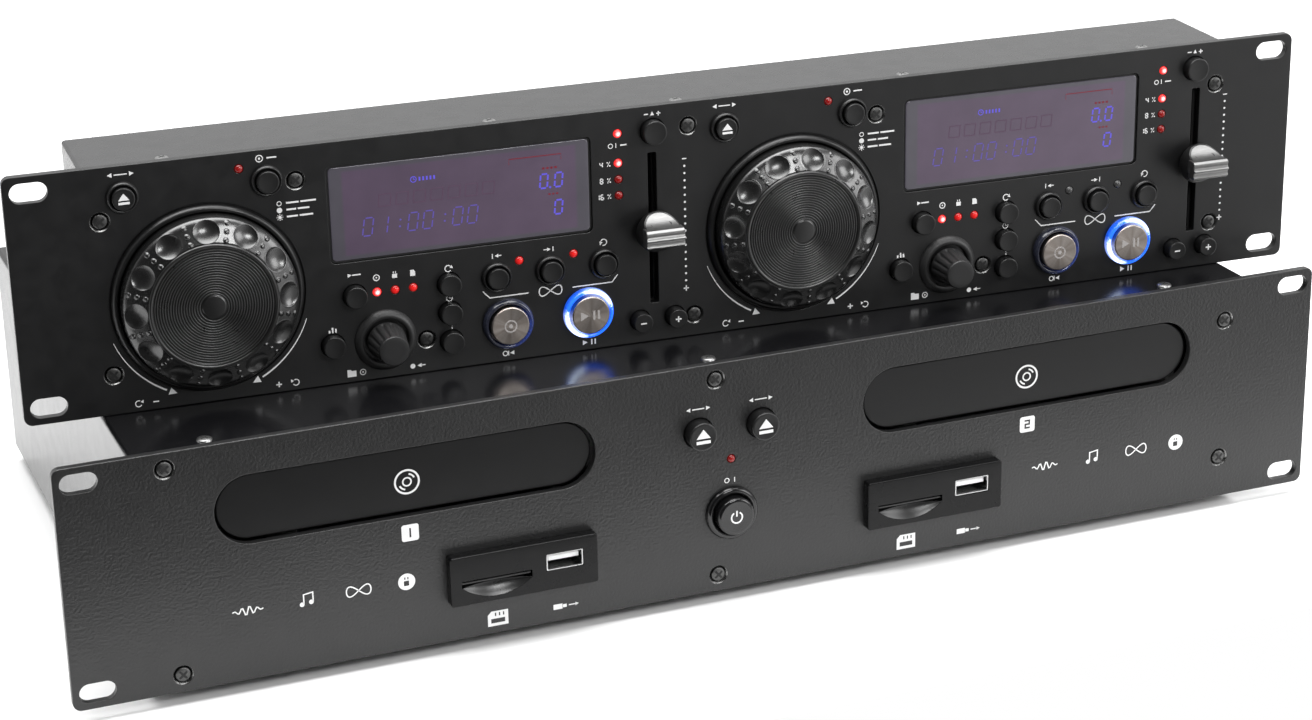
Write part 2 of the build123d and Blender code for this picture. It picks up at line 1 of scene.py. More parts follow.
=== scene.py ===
"""Looks of a dual rack CD player: a drive unit with two disc trays, and the controller unit standing on it."""
import math

import bpy
import numpy as np
from mathutils import Matrix, Vector
from mathutils.geometry import delaunay_2d_cdt


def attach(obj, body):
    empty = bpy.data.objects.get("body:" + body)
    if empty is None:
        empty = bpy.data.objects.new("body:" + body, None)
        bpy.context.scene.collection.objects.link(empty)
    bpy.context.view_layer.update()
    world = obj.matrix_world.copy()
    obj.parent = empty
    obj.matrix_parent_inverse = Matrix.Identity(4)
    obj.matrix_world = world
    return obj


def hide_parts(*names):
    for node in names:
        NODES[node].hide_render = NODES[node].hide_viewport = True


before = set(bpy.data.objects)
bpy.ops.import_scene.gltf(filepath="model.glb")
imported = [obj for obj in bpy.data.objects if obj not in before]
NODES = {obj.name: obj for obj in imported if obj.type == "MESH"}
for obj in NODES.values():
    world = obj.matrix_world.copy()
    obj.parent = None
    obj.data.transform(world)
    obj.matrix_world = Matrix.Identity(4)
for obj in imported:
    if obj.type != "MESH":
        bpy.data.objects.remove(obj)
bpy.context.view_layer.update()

MM = 0.001
PI = math.pi
RACK_W, RACK_H = 482.6, 88.1
ROW = Matrix.Translation((0, -0.12435, 0.005))
CTL = ROW @ Matrix.Translation((0, 0.034, 0.0866)) @ Matrix.Rotation(math.radians(-2.8), 4, "Z")
DECKS = (0.0, 214.6)
JOGS = (65.7, 65.7 + 214.5)
JOG_Z = 38.0
WIN = (156.35, 61.75, 94.6, 34.9)
KNOB = (126.7, 14.2)
FADER = (226.5, 42.75)
CUE, PLAY = (171.3, 14.3), (201.2, 14.3)
BUTTONS = {
    "open_button": (39.4, 77.1, 3.9, 3.2, True), "jog_mode_button": (88.4, 77.1, 3.9, 3.2, True),
    "source_button": (116.6, 31.8, 4.0, 3.4, False), "bpm_button": (107.9, 14.6, 4.0, 3.4, False),
    "repeat_button": (150.4, 31.8, 4.0, 3.4, False), "time_button": (150.4, 21.1, 4.0, 3.4, False),
    "single_button": (150.5, 10.4, 4.0, 3.4, False), "loop_in_button": (167.8, 32.0, 3.9, 3.2, True),
    "loop_out_button": (187.6, 32.0, 3.9, 3.2, True), "reloop_button": (207.7, 32.0, 3.9, 3.2, True),
    "pitch_button": (226.9, 78.7, 4.4, 3.4, False), "bend_minus_button": (220.8, 8.6, 3.6, 4.4, False),
    "bend_plus_button": (234.0, 8.6, 3.6, 4.4, False),
}
LEDS = [(79.2, 82.2), (124.6, 32.1), (131.1, 32.1), (137.6, 32.1), (176.4, 37.0), (196.5, 37.0),
        (213.9, 79.2), (213.9, 68.4), (213.9, 62.4), (213.9, 56.5)]
CTL_SCREWS = [(31.3, 69.3), (98.4, 75.9), (31.5, 14.4), (141.6, 12.3), (240.3, 79.2), (241.6, 8.1),
              (312.6, 75.3), (356.0, 12.2), (450.7, 71.7), (450.7, 17.2)]
DRV_SCREWS = [(37.3, 82.1), (38.0, 6.4), (235.3, 82.1), (235.5, 6.4), (444.5, 72.4), (444.8, 16.4)]
COVER_SCREW_X, COVER_SCREW_Y = (53.5, 236.5, 423.0), (9.5, 238.0)
CASE_SCREW_X = (54.8, 169.5, 238.3, 326.0, 423.0)
EJECTS = (228.5, 252.7)
POWER = (240.8, 30.1)
MODULES = (160.2, 320.8)


def P(x):
    return x - RACK_W / 2


# ================================================================ mesh helpers
def volume(v, faces):
    c = v.mean(0)
    total = 0.0
    for f in faces:
        a = v[f[0]] - c
        for k in range(1, len(f) - 1):
            total += float(np.dot(a, np.cross(v[f[k]] - c, v[f[k + 1]] - c)))
    return total


def build(name, verts, faces, mat, place, body, slot, sharp=32.0, weighted=True, check=True, origin=None):
    """A piece from points in millimetres in the plane of a panel (x right, y inward, z up)."""
    v = np.array(verts, float).reshape(-1, 3)
    if origin is not None:
        v = v - np.array(origin, float)
        place = place @ Matrix.Translation(Vector(origin) * MM)
    if check and len(faces) < 6000 and volume(v, faces) < 0:
        faces = [tuple(reversed(f)) for f in faces]
    me = bpy.data.meshes.new(name)
    me.from_pydata((v * MM).tolist(), [], [list(f) for f in faces])
    me.validate()
    me.shade_smooth()
    me.set_sharp_from_angle(angle=math.radians(sharp))
    for m in (mat if isinstance(mat, (list, tuple)) else [mat]):
        me.materials.append(m)
    ob = bpy.data.objects.new(name, me)
    bpy.context.scene.collection.objects.link(ob)
    ob.matrix_world = place
    if weighted:
        w = ob.modifiers.new("normals", "WEIGHTED_NORMAL")
        w.keep_sharp = True
        w.weight = 80
    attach(ob, body)
    return ob


def join(*parts):
    """Several (points, faces) as one."""
    vs, fs, n = [], [], 0
    for v, f in parts:
        v = np.array(v, float).reshape(-1, 3)
        vs.append(v)
        fs += [tuple(i + n for i in face) for face in f]
        n += len(v)
    return np.concatenate(vs), fs


def moved(part, x=0.0, y=0.0, z=0.0):
    v, f = part
    return np.array(v, float).reshape(-1, 3) + np.array([x, y, z]), f


def fil(points, seg=4):
    """(a, b[, radius]) points with those corners rounded."""
    out = []
    for i, p in enumerate(points):
        rad = p[2] if len(p) > 2 else 0.0
        if not rad or i in (0, len(points) - 1):
            out.append((p[0], p[1]))
            continue
        a, b, c = np.array(points[i - 1][:2], float), np.array(p[:2], float), np.array(points[i + 1][:2], float)
        da, dc = np.linalg.norm(a - b), np.linalg.norm(c - b)
        ra, rc = min(rad, da * 0.48), min(rad, dc * 0.48)
        s, e = b + (a - b) / da * ra, b + (c - b) / dc * rc
        for k in range(seg + 1):
            t = k / seg
            q = (1 - t) ** 2 * s + 2 * t * (1 - t) * b + t * t * e
            out.append((float(q[0]), float(q[1])))
    return out


def lathe(prof, n=64, cx=0.0, cz=0.0, radius=None):
    """A body of revolution about a line along Y: prof is (radius, y) from the front inward."""
    pts, faces, rings = [], [], []
    ang = np.arange(n) * 2 * PI / n
    for r, y in prof:
        if r < 1e-6:
            rings.append([len(pts)])
            pts.append((0.0, y, 0.0))
        else:
            start = len(pts)
            for a in ang:
                k = 1.0 if radius is None else radius(a, r, y)
                pts.append((r * k * math.cos(a), y, r * k * math.sin(a)))
            rings.append(list(range(start, start + n)))
    for a, b in zip(rings, rings[1:]):
        for i in range(n):
            j = (i + 1) % n
            if len(a) == 1 and len(b) == 1:
                break
            if len(a) == 1:
                faces.append((a[0], b[i], b[j]))
            elif len(b) == 1:
                faces.append((a[i], b[0], a[j]))
            else:
                faces.append((a[i], b[i], b[j], a[j]))
    return np.array(pts) + np.array([cx, 0.0, cz]), faces


def circle(cx, cz, r, n=48, a0=0.0):
    return [(cx + r * math.cos(a0 + 2 * PI * k / n), cz + r * math.sin(a0 + 2 * PI * k / n)) for k in range(n)]


def rrect(cx, cz, w, h, r, seg=6):
    if r <= 0:
        return [(cx - w / 2, cz - h / 2), (cx + w / 2, cz - h / 2), (cx + w / 2, cz + h / 2), (cx - w / 2, cz + h / 2)]
    pts = []
    for sx, sz, a0 in ((1, -1, -PI / 2), (1, 1, 0.0), (-1, 1, PI / 2), (-1, -1, PI)):
        for k in range(seg + 1):
            a = a0 + PI / 2 * k / seg
            pts.append((cx + sx * (w / 2 - r) + r * math.cos(a), cz + sz * (h / 2 - r) + r * math.sin(a)))
    return pts


def stadium(cx, cz, w, h, n=20):
    """A slot shape, w along x and h along z."""
    if w >= h:
        return rrect(cx, cz, w, h, h / 2 - 1e-4, n)
    return rrect(cx, cz, w, h, w / 2 - 1e-4, n)


def area(loop):
    p = np.array(loop)
    q = np.roll(p, -1, 0)
    return 0.5 * float((p[:, 0] * q[:, 1] - q[:, 0] * p[:, 1]).sum())


def inside(pts, loop):
    x, z = pts[:, 0], pts[:, 1]
    p = np.array(loop)
    q = np.roll(p, -1, 0)
    odd = np.zeros(len(pts), bool)
    for (x0, z0), (x1, z1) in zip(p, q):
        if z0 == z1:
            continue
        hit = ((z0 > z) != (z1 > z)) & (x < (x1 - x0) * (z - z0) / (z1 - z0) + x0)
        odd ^= hit
    return odd


def offset(loop, d):
    """The loop moved by d into the material (outer loop anticlockwise, holes clockwise)."""
    p = np.array(loop, float)
    e = np.roll(p, -1, 0) - p
    e /= np.maximum(np.linalg.norm(e, axis=1, keepdims=True), 1e-9)
    nrm = np.stack([e[:, 1], -e[:, 0]], 1)
    prev = np.roll(nrm, 1, 0)
    m = (nrm + prev) / np.maximum(1 + (nrm * prev).sum(1, keepdims=True), 0.25)
    return p - m * d


def plate(outer, holes=(), y0=0.0, y1=3.0, bevel=0.3, seg=3, back_bevel=None, hole_bevel=None):
    """A flat plate with holes and rounded edges."""
    loops = [list(outer) if area(outer) > 0 else list(reversed(outer))]
    loops += [list(h) if area(h) < 0 else list(reversed(h)) for h in holes]
    bb = bevel if back_bevel is None else back_bevel
    pts, faces = [], []
    fronts, backs = [], []
    for li, lp in enumerate(loops):
        b = bevel if (li == 0 or hole_bevel is None) else hole_bevel
        rows = []
        for k in range(seg + 1):
            t = PI / 2 * k / seg
            rows.append((b * (1 - math.sin(t)), y0 + b * (1 - math.cos(t))))
        for k in range(seg + 1):
            t = PI / 2 * (seg - k) / seg
            rows.append((bb * (1 - math.sin(t)), y1 - bb * (1 - math.cos(t))))
        n = len(lp)
        idx = []
        for d, y in rows:
            q = offset(lp, d)
            idx.append(list(range(len(pts), len(pts) + n)))
            pts += [(a, y, c) for a, c in q]
        for r0, r1 in zip(idx, idx[1:]):
            for i in range(n):
                j = (i + 1) % n
                faces.append((r0[i], r1[i], r1[j], r0[j]))
        fronts.append(idx[0])
        backs.append(idx[-1])
    allp = np.array(pts)
    for side, flip in ((fronts, False), (backs, True)):
        index = [i for lp in side for i in lp]
        co = [Vector((float(allp[i][0]), float(allp[i][2]))) for i in index]
        edges, n0 = [], 0
        for lp in side:
            edges += [(n0 + k, n0 + (k + 1) % len(lp)) for k in range(len(lp))]
            n0 += len(lp)
        v2, _, tris, orig, _, _ = delaunay_2d_cdt(co, edges, [], 0, 1e-7)
        back = []
        for i, o in enumerate(orig):
            if o:
                back.append(index[o[0]])
            else:
                back.append(len(pts))
                pts.append((v2[i][0], pts[index[0]][1], v2[i][1]))
        cen = np.array([[sum(v2[i][0] for i in t) / 3, sum(v2[i][1] for i in t) / 3] for t in tris])
        rings = [[(allp[i][0], allp[i][2]) for i in lp] for lp in side]
        ok = inside(cen, rings[0])
        for h in rings[1:]:
            h_ = np.array(h)
            lo, hi = h_.min(0), h_.max(0)
            near = np.where(((cen > lo) & (cen < hi)).all(1))[0]
            if len(near):
                ok[near[inside(cen[near], h)]] = False
        for t, k in zip(tris, ok):
            if k:
                a, b, c = (back[i] for i in t)
                cross = (v2[t[1]][0] - v2[t[0]][0]) * (v2[t[2]][1] - v2[t[0]][1]) - (v2[t[1]][1] - v2[t[0]][1]) * (v2[t[2]][0] - v2[t[0]][0])
                if (cross < 0) != flip:
                    a, c = c, a
                faces.append((a, b, c))
    return np.array(pts), faces


def prism(loop, y0, y1):
    """A loop as a thin solid with flat ends."""
    lp = list(loop) if area(loop) > 0 else list(reversed(loop))
    n = len(lp)
    pts = [(x, y0, z) for x, z in lp] + [(x, y1, z) for x, z in lp]
    faces = [tuple(range(n)), tuple(reversed(range(n, 2 * n)))]
    faces += [(i, n + i, n + (i + 1) % n, (i + 1) % n) for i in range(n)]
    return np.array(pts), faces


def band(path, w, y0=-0.03, y1=0.02, closed=False):
    """A stroke of width w (a number, or one for each point) along a path in the panel's plane."""
    p = np.array(path, float)
    n = len(p)
    w = np.full(n, w, float) if np.isscalar(w) else np.array(w, float)
    if closed:
        t = np.roll(p, -1, 0) - np.roll(p, 1, 0)
    else:
        t = np.gradient(p, axis=0)
    t /= np.maximum(np.linalg.norm(t, axis=1, keepdims=True), 1e-9)
    nr = np.stack([t[:, 1], -t[:, 0]], 1)
    if not closed and n > 2:
        for i in range(1, n - 1):
            a, b = p[i] - p[i - 1], p[i + 1] - p[i]
            c = np.dot(a, b) / (np.linalg.norm(a) * np.linalg.norm(b) + 1e-9)
            nr[i] /= math.sqrt(max((1 + c) / 2, 0.2))
    lft, rgt = p + nr * w[:, None] / 2, p - nr * w[:, None] / 2
    pts = [(x, y0, z) for x, z in lft] + [(x, y0, z) for x, z in rgt] + [(x, y1, z) for x, z in lft] + [(x, y1, z) for x, z in rgt]
    faces = []
    m = n if closed else n - 1
    for i in range(m):
        j = (i + 1) % n
        faces.append((i, j, n + j, n + i))
        faces.append((2 * n + j, 2 * n + i, 3 * n + i, 3 * n + j))
        faces.append((i, 2 * n + i, 2 * n + j, j))
        faces.append((n + j, 3 * n + j, 3 * n + i, n + i))
    if not closed:
        faces.append((0, n, 3 * n, 2 * n))
        faces.append((n - 1, 3 * n - 1, 4 * n - 1, 2 * n - 1))
    # point the first face to the front
    a, b, c = (np.array(pts[k]) for k in faces[0][:3])
    if np.cross(b - a, c - b)[1] > 0:
        faces = [tuple(reversed(f)) for f in faces]
    return np.array(pts), faces


def arc(cx, cz, r, a0, a1, n=24):
    return [(cx + r * math.cos(math.radians(a0 + (a1 - a0) * k / n)), cz + r * math.sin(math.radians(a0 + (a1 - a0) * k / n))) for k in range(n + 1)]


def dot(cx, cz, r, y0=-0.03, y1=0.02, n=20):
    return prism(circle(cx, cz, r, n), y0, y1)


def poly(pts, y0=-0.03, y1=0.02):
    return prism(pts, y0, y1)


def ringband(cx, cz, r, w, y0=-0.03, y1=0.02, n=36):
    return band(circle(cx, cz, r, n), w, y0, y1, closed=True)


# seven-segment figures, as strokes
SEG = {"0": "abcdef", "1": "bc", "2": "abged", "3": "abgcd", "4": "fgbc", "5": "afgcd", "6": "afgedc", "7": "abc", "8": "abcdefg", "9": "abcdfg", "-": "g"}


def figure(ch, x, z, w, h, t, slant=0.12, y0=-0.03, y1=0.02):
    """One seven-segment figure with its lower left corner at (x, z)."""
    q = {"a": ((0, h), (w, h)), "g": ((0, h / 2), (w, h / 2)), "d": ((0, 0), (w, 0)), "f": ((0, h), (0, h / 2)),
         "b": ((w, h), (w, h / 2)), "e": ((0, h / 2), (0, 0)), "c": ((w, h / 2), (w, 0))}
    out = []
    for s in SEG.get(ch, ""):
        (x0, z0), (x1, z1) = q[s]
        k = 0.13
        a = (x0 + (x1 - x0) * k, z0 + (z1 - z0) * k)
        b = (x1 - (x1 - x0) * k, z1 - (z1 - z0) * k)
        out.append(band([(x + a[0] + slant * a[1], z + a[1]), (x + b[0] + slant * b[1], z + b[1])], t, y0, y1))
    return out


# ================================================================ materials
class Mat:
    def __init__(self, name):
        self.m = bpy.data.materials.new(name)
        self.m.use_nodes = True
        self.t = self.m.node_tree
        self.t.nodes.clear()
        self.out = self.t.nodes.new("ShaderNodeOutputMaterial")
        self.b = self.t.nodes.new("ShaderNodeBsdfPrincipled")
        self.t.links.new(self.b.outputs[0], self.out.inputs["Surface"])

    def node(self, kind, **props):
        n = self.t.nodes.new(kind)
        for k, v in props.items():
            setattr(n, k, v)
        return n

    def link(self, a, b):
        self.t.links.new(a, b)

    def set(self, **values):
        for k, v in values.items():
            s = self.b.inputs[k.replace("_", " ")]
            s.default_value = v if not isinstance(v, tuple) or len(v) == 4 else (*v, 1.0)
        return self

    def coord(self, stretch=(1, 1, 1)):
        tc = self.node("ShaderNodeTexCoord")
        mp = self.node("ShaderNodeMapping")
        mp.inputs["Scale"].default_value = tuple(1000.0 * s for s in stretch)
        self.link(tc.outputs["Object"], mp.inputs["Vector"])
        return mp.outputs[0]

    def noise(self, per_mm, detail=3.0, rough=0.55, stretch=(1, 1, 1), vec=None):
        n = self.node("ShaderNodeTexNoise")
        n.inputs["Scale"].default_value = per_mm
        n.inputs["Detail"].default_value = detail
        n.inputs["Roughness"].default_value = rough
        self.link(vec or self.coord(stretch), n.inputs["Vector"])
        return n.outputs["Fac"]

    def ramp(self, fac, stops):
        r = self.node("ShaderNodeValToRGB")
        els = r.color_ramp.elements
        while len(els) < len(stops):
            els.new(0.5)
        for e, (p, c) in zip(els, stops):
            e.position = p
            e.color = (c, c, c, 1) if not isinstance(c, tuple) else (*c, 1)
        self.link(fac, r.inputs["Fac"])
        return r.outputs["Color"]

    def span(self, fac, lo, hi, a=0.3, b=0.7):
        m = self.node("ShaderNodeMapRange")
        m.inputs["From Min"].default_value, m.inputs["From Max"].default_value = a, b
        m.inputs["To Min"].default_value, m.inputs["To Max"].default_value = lo, hi
        self.link(fac, m.inputs["Value"])
        return m.outputs[0]

    def math(self, op, a, b=None, c=None):
        m = self.node("ShaderNodeMath", operation=op)
        for i, v in enumerate((a, b, c)):
            if v is None:
                continue
            if isinstance(v, (int, float)):
                m.inputs[i].default_value = v
            else:
                self.link(v, m.inputs[i])
        return m.outputs[0]

    def mixc(self, fac, a, b):
        m = self.node("ShaderNodeMix", data_type="RGBA")
        for i, v in ((0, fac), (6, a), (7, b)):
            if isinstance(v, (int, float)):
                m.inputs[i].default_value = v
            elif isinstance(v, tuple):
                m.inputs[i].default_value = (*v, 1)
            else:
                self.link(v, m.inputs[i])
        return m.outputs[2]

    def bump(self, height, dist_mm, strength=1.0, prev=None):
        n = self.node("ShaderNodeBump")
        n.inputs["Strength"].default_value = strength
        n.inputs["Distance"].default_value = dist_mm * MM
        self.link(height, n.inputs["Height"])
        if prev is not None:
            self.link(prev, n.inputs["Normal"])
        return n.outputs[0]

    def normal(self, out):
        self.link(out, self.b.inputs["Normal"])
        return self

    def color(self, out):
        self.link(out, self.b.inputs["Base Color"])
        return self

    def rough(self, out):
        self.link(out, self.b.inputs["Roughness"])
        return self


def paint(name, a, b, r0, r1, grain, grain_mm, fine=None, ior=1.5, edge=None, spec=0.5):
    """Painted or moulded surface: slow colour drift, patchy roughness, fine grain, and a painted highlight that makes
    the edges lighter, broken up by noise.
    """
    m = Mat(name)
    slow = m.noise(0.018, 4.0)
    col = m.ramp(slow, [(0.3, a), (0.7, b)])
    if edge is not None:
        # painted highlight: the edge colour is laid along the rounded edges, found where the bevel normal leaves the
        # true normal
        bev = m.node("ShaderNodeBevel", samples=4)
        bev.inputs["Radius"].default_value = 0.25 * MM
        geo = m.node("ShaderNodeNewGeometry")
        dp = m.node("ShaderNodeVectorMath", operation="DOT_PRODUCT")
        m.link(bev.outputs[0], dp.inputs[0])
        m.link(geo.outputs["Normal"], dp.inputs[1])
        painted_edge_highlight = m.span(dp.outputs["Value"], 1.0, 0.0, 0.80, 0.985)
        painted_edge_highlight = m.math("MULTIPLY", painted_edge_highlight, m.span(m.noise(0.9, 4.0), 0.25, 1.0, 0.35, 0.65))
        col = m.mixc(painted_edge_highlight, col, edge)
    m.color(col)
    m.rough(m.span(m.noise(0.15, 5.0), r0, r1, 0.35, 0.65))
    n = m.bump(m.noise(grain, 2.0, 0.5), grain_mm, 1.0)
    if fine:
        n = m.bump(m.noise(fine[0], 1.5, 0.5), fine[1], 1.0, prev=n)
    m.normal(n)
    m.set(IOR=ior, Specular_IOR_Level=spec)
    return m.m


M = {}
# each edge= colour below is the painted highlight along that surface's rounded edges
M["ctl_panel"] = paint("controller panel paint", (0.0070, 0.0070, 0.0073), (0.0095, 0.0095, 0.0098), 0.30, 0.38, 2.6, 0.005, (9.0, 0.0016), edge=(0.030, 0.030, 0.031))
M["drv_panel"] = paint("drive panel powder coat", (0.0110, 0.0110, 0.0112), (0.0150, 0.0150, 0.0152), 0.32, 0.38, 0.95, 0.19, (3.0, 0.045), edge=(0.055, 0.055, 0.055))
M["case"] = paint("case paint", (0.0032, 0.0032, 0.0037), (0.0046, 0.0046, 0.0052), 0.20, 0.23, 0.22, 0.006, (3.0, 0.0006), ior=1.5, edge=(0.020, 0.020, 0.020))
M["ctl_case"] = paint("controller case paint", (0.0120, 0.0120, 0.0125), (0.0155, 0.0155, 0.0160), 0.25, 0.29, 0.3, 0.0022, (4.0, 0.0004), ior=1.52, edge=(0.030, 0.030, 0.030))
M["steel"] = paint("black steel sheet", (0.012, 0.012, 0.012), (0.020, 0.020, 0.020), 0.40, 0.55, 1.6, 0.010)
M["plastic"] = paint("black moulded plastic", (0.0050, 0.0050, 0.0052), (0.0072, 0.0072, 0.0074), 0.30, 0.40, 3.5, 0.008, edge=(0.030, 0.030, 0.030))
M["satin"] = paint("satin black plastic", (0.0120, 0.0120, 0.0123), (0.0160, 0.0160, 0.0163), 0.42, 0.52, 5.0, 0.010)
M["gloss"] = paint("gloss black plastic", (0.0045, 0.0045, 0.0048), (0.0060, 0.0060, 0.0064), 0.10, 0.16, 0.6, 0.006)
M["fascia"] = paint("tray fascia plastic", (0.0040, 0.0040, 0.0042), (0.0048, 0.0048, 0.0050), 0.28, 0.30, 3.0, 0.0015, spec=0.42)
M["module"] = paint("module plastic", (0.0022, 0.0022, 0.0024), (0.0032, 0.0032, 0.0034), 0.22, 0.28, 4.5, 0.003, spec=0.20)
M["recess"] = paint("card recess plastic", (0.0060, 0.0060, 0.0062), (0.0080, 0.0080, 0.0082), 0.26, 0.32, 4.0, 0.002)
M["black"] = paint("shadow black", (0.0030, 0.0030, 0.0030), (0.0040, 0.0040, 0.0040), 0.6, 0.75, 3.0, 0.004)
M["tray"] = paint("disc tray plastic", (0.0110, 0.0110, 0.0114), (0.0150, 0.0150, 0.0154), 0.38, 0.48, 4.0, 0.012)
M["loader"] = paint("loader plastic", (0.16, 0.16, 0.155), (0.22, 0.22, 0.21), 0.45, 0.60, 2.0, 0.02)
M["print"] = paint("white screen print", (0.72, 0.72, 0.72), (0.80, 0.80, 0.80), 0.50, 0.60, 6.0, 0.004)


def rubber():
    m = Mat("foot rubber")
    m.color(m.ramp(m.noise(0.3, 4), [(0.3, 0.012), (0.7, 0.020)]))
    m.rough(m.span(m.noise(1.2, 4), 0.75, 0.9))
    m.normal(m.bump(m.noise(3.0, 3), 0.03))
    return m.m


def metal(name, col_a, col_b, r0, r1, stretch=(1, 1, 1), scale=3.0, bump_mm=0.004, aniso=0.0):
    m = Mat(name)
    m.color(m.ramp(m.noise(scale, 4, stretch=stretch), [(0.3, col_a), (0.7, col_b)]))
    m.rough(m.span(m.noise(scale * 1.7, 3, stretch=stretch), r0, r1))
    m.normal(m.bump(m.noise(scale * 2.5, 3, stretch=stretch), bump_mm))
    m.set(Metallic=1.0)
    if aniso:
        m.set(Anisotropic=aniso)
    return m.m


def turned_cap():
    """Lathe-turned metal: fine rings about the axis, and a painted highlight in the colour that fans out from the
    middle.
    """
    m = Mat("turned metal cap")
    tc = m.node("ShaderNodeTexCoord")
    sep = m.node("ShaderNodeSeparateXYZ")
    m.link(tc.outputs["Object"], sep.inputs[0])
    rr = m.math("SQRT", m.math("ADD", m.math("MULTIPLY", sep.outputs["X"], sep.outputs["X"]), m.math("MULTIPLY", sep.outputs["Z"], sep.outputs["Z"])))
    ang = m.math("ARCTAN2", sep.outputs["Z"], sep.outputs["X"])
    comb = m.node("ShaderNodeCombineXYZ")
    m.link(m.math("MULTIPLY", rr, 1000.0), comb.inputs["X"])
    m.link(m.math("MULTIPLY", ang, 0.35), comb.inputs["Y"])
    rings = m.noise(5.5, 3, 0.6, vec=comb.outputs[0])
    comb2 = m.node("ShaderNodeCombineXYZ")
    m.link(m.math("COSINE", m.math("MULTIPLY", ang, 3.0)), comb2.inputs["X"])
    m.link(m.math("SINE", m.math("MULTIPLY", ang, 2.0)), comb2.inputs["Y"])
    painted_fan_highlight = m.noise(0.9, 1, 0.4, vec=comb2.outputs[0])
    # painted highlight: the colour runs from dark to pale along the fan, standing in for the light on turned metal
    col = m.ramp(painted_fan_highlight, [(0.30, (0.33, 0.285, 0.255)), (0.52, (0.43, 0.38, 0.345)), (0.72, (0.58, 0.53, 0.50))])
    col = m.mixc(m.span(rings, 0.0, 0.45), col, (0.30, 0.27, 0.25))
    m.color(col)
    m.rough(m.span(rings, 0.30, 0.42))
    m.normal(m.bump(rings, 0.010))
    m.set(Metallic=1.0, Anisotropic=0.5)
    tan = m.node("ShaderNodeTangent", direction_type="RADIAL", axis="Y")
    m.link(tan.outputs[0], m.b.inputs["Tangent"])
    return m.m


def glow(name, col, strength, body=(0.3, 0.01, 0.01)):
    """An indicator lens: brighter in the middle of the dome, with a moulded edge."""
    m = Mat(name)
    tc = m.node("ShaderNodeTexCoord")
    sep = m.node("ShaderNodeSeparateXYZ")
    m.link(tc.outputs["Object"], sep.inputs[0])
    rr = m.math("SQRT", m.math("ADD", m.math("MULTIPLY", sep.outputs["X"], sep.outputs["X"]), m.math("MULTIPLY", sep.outputs["Z"], sep.outputs["Z"])))
    fall = m.span(rr, 1.0, 0.25, 0.0004, 0.0015)
    fall = m.math("MULTIPLY", fall, m.span(m.noise(1.8, 2), 0.8, 1.15))
    m.color(m.ramp(m.noise(2.0, 3), [(0.3, body), (0.7, tuple(c * 1.25 for c in body))]))
    m.rough(m.span(m.noise(3.0, 3), 0.12, 0.22))
    m.link(m.math("MULTIPLY", fall, strength), m.b.inputs["Emission Strength"])
    hot = tuple(min(1.0, c * 0.55 + 0.45) for c in col) if strength > 2.5 else col
    m.link(m.mixc(m.span(rr, 1.0, 0.0, 0.0002, 0.0011), col, hot), m.b.inputs["Emission Color"])
    m.set(Transmission_Weight=0.0, IOR=1.5)
    return m.m


def light_ring(name, lit):
    """The clear ring round a large button; lit ones have two hot arcs where the lamps sit, unlit ones get a faint
    painted blue glow towards their lower right.
    """
    m = Mat(name)
    tc = m.node("ShaderNodeTexCoord")
    sep = m.node("ShaderNodeSeparateXYZ")
    m.link(tc.outputs["Object"], sep.inputs[0])
    ang = m.math("ARCTAN2", sep.outputs["Z"], sep.outputs["X"])
    rr = m.math("SQRT", m.math("ADD", m.math("MULTIPLY", sep.outputs["X"], sep.outputs["X"]), m.math("MULTIPLY", sep.outputs["Z"], sep.outputs["Z"])))
    m.rough(m.span(m.noise(2.5, 3), 0.10, 0.20))
    if lit:
        def lobe(deg, power):
            c = m.math("COSINE", m.math("SUBTRACT", ang, math.radians(deg)))
            return m.math("POWER", m.math("MAXIMUM", m.math("MULTIPLY_ADD", c, 0.5, 0.5), 0.0), power)
        spot = m.math("MAXIMUM", lobe(58, 6.0), lobe(214, 6.0))
        spot = m.math("MULTIPLY", spot, m.span(m.noise(1.1, 4, 0.7), 0.55, 1.25))
        edge = m.span(rr, 0.45, 1.0, 0.0076, 0.0083)
        inner = m.span(rr, 1.0, 0.35, 0.0086, 0.0093)
        body = m.math("MULTIPLY", edge, inner)
        hot = m.math("MULTIPLY", m.span(spot, 0.0, 1.0, 0.24, 0.62), body)
        m.link(m.mixc(hot, (0.010, 0.115, 0.95), (0.80, 0.92, 1.0)), m.b.inputs["Emission Color"])
        m.link(m.math("MULTIPLY", m.math("MULTIPLY_ADD", hot, 3.5, 2.1), m.math("MULTIPLY", body, m.span(m.noise(0.9, 4, 0.7), 0.7, 1.2))), m.b.inputs["Emission Strength"])
        m.color(m.ramp(m.noise(1.5, 3), [(0.3, (0.01, 0.05, 0.25)), (0.7, (0.02, 0.08, 0.35))]))
    else:
        m.color(m.ramp(m.noise(1.5, 3), [(0.3, (0.016, 0.018, 0.030)), (0.7, (0.026, 0.029, 0.046))]))
        # painted light: the unlit ring still glows faintly blue on one side, though no lamp behind it is lit
        unlit_ring_painted_glow = m.math("POWER", m.math("MAXIMUM", m.math("MULTIPLY_ADD", m.math("COSINE", m.math("SUBTRACT", ang, math.radians(-25))), 0.5, 0.5), 0.0), 4.0)
        m.link(m.mixc(0.5, (0.02, 0.09, 0.8), (0.05, 0.15, 0.8)), m.b.inputs["Emission Color"])
        m.link(m.math("MULTIPLY", unlit_ring_painted_glow, m.span(m.noise(1.2, 3, 0.7), 0.05, 0.32)), m.b.inputs["Emission Strength"])
    m.set(Coat_Weight=0.6, Coat_Roughness=0.06)
    return m.m


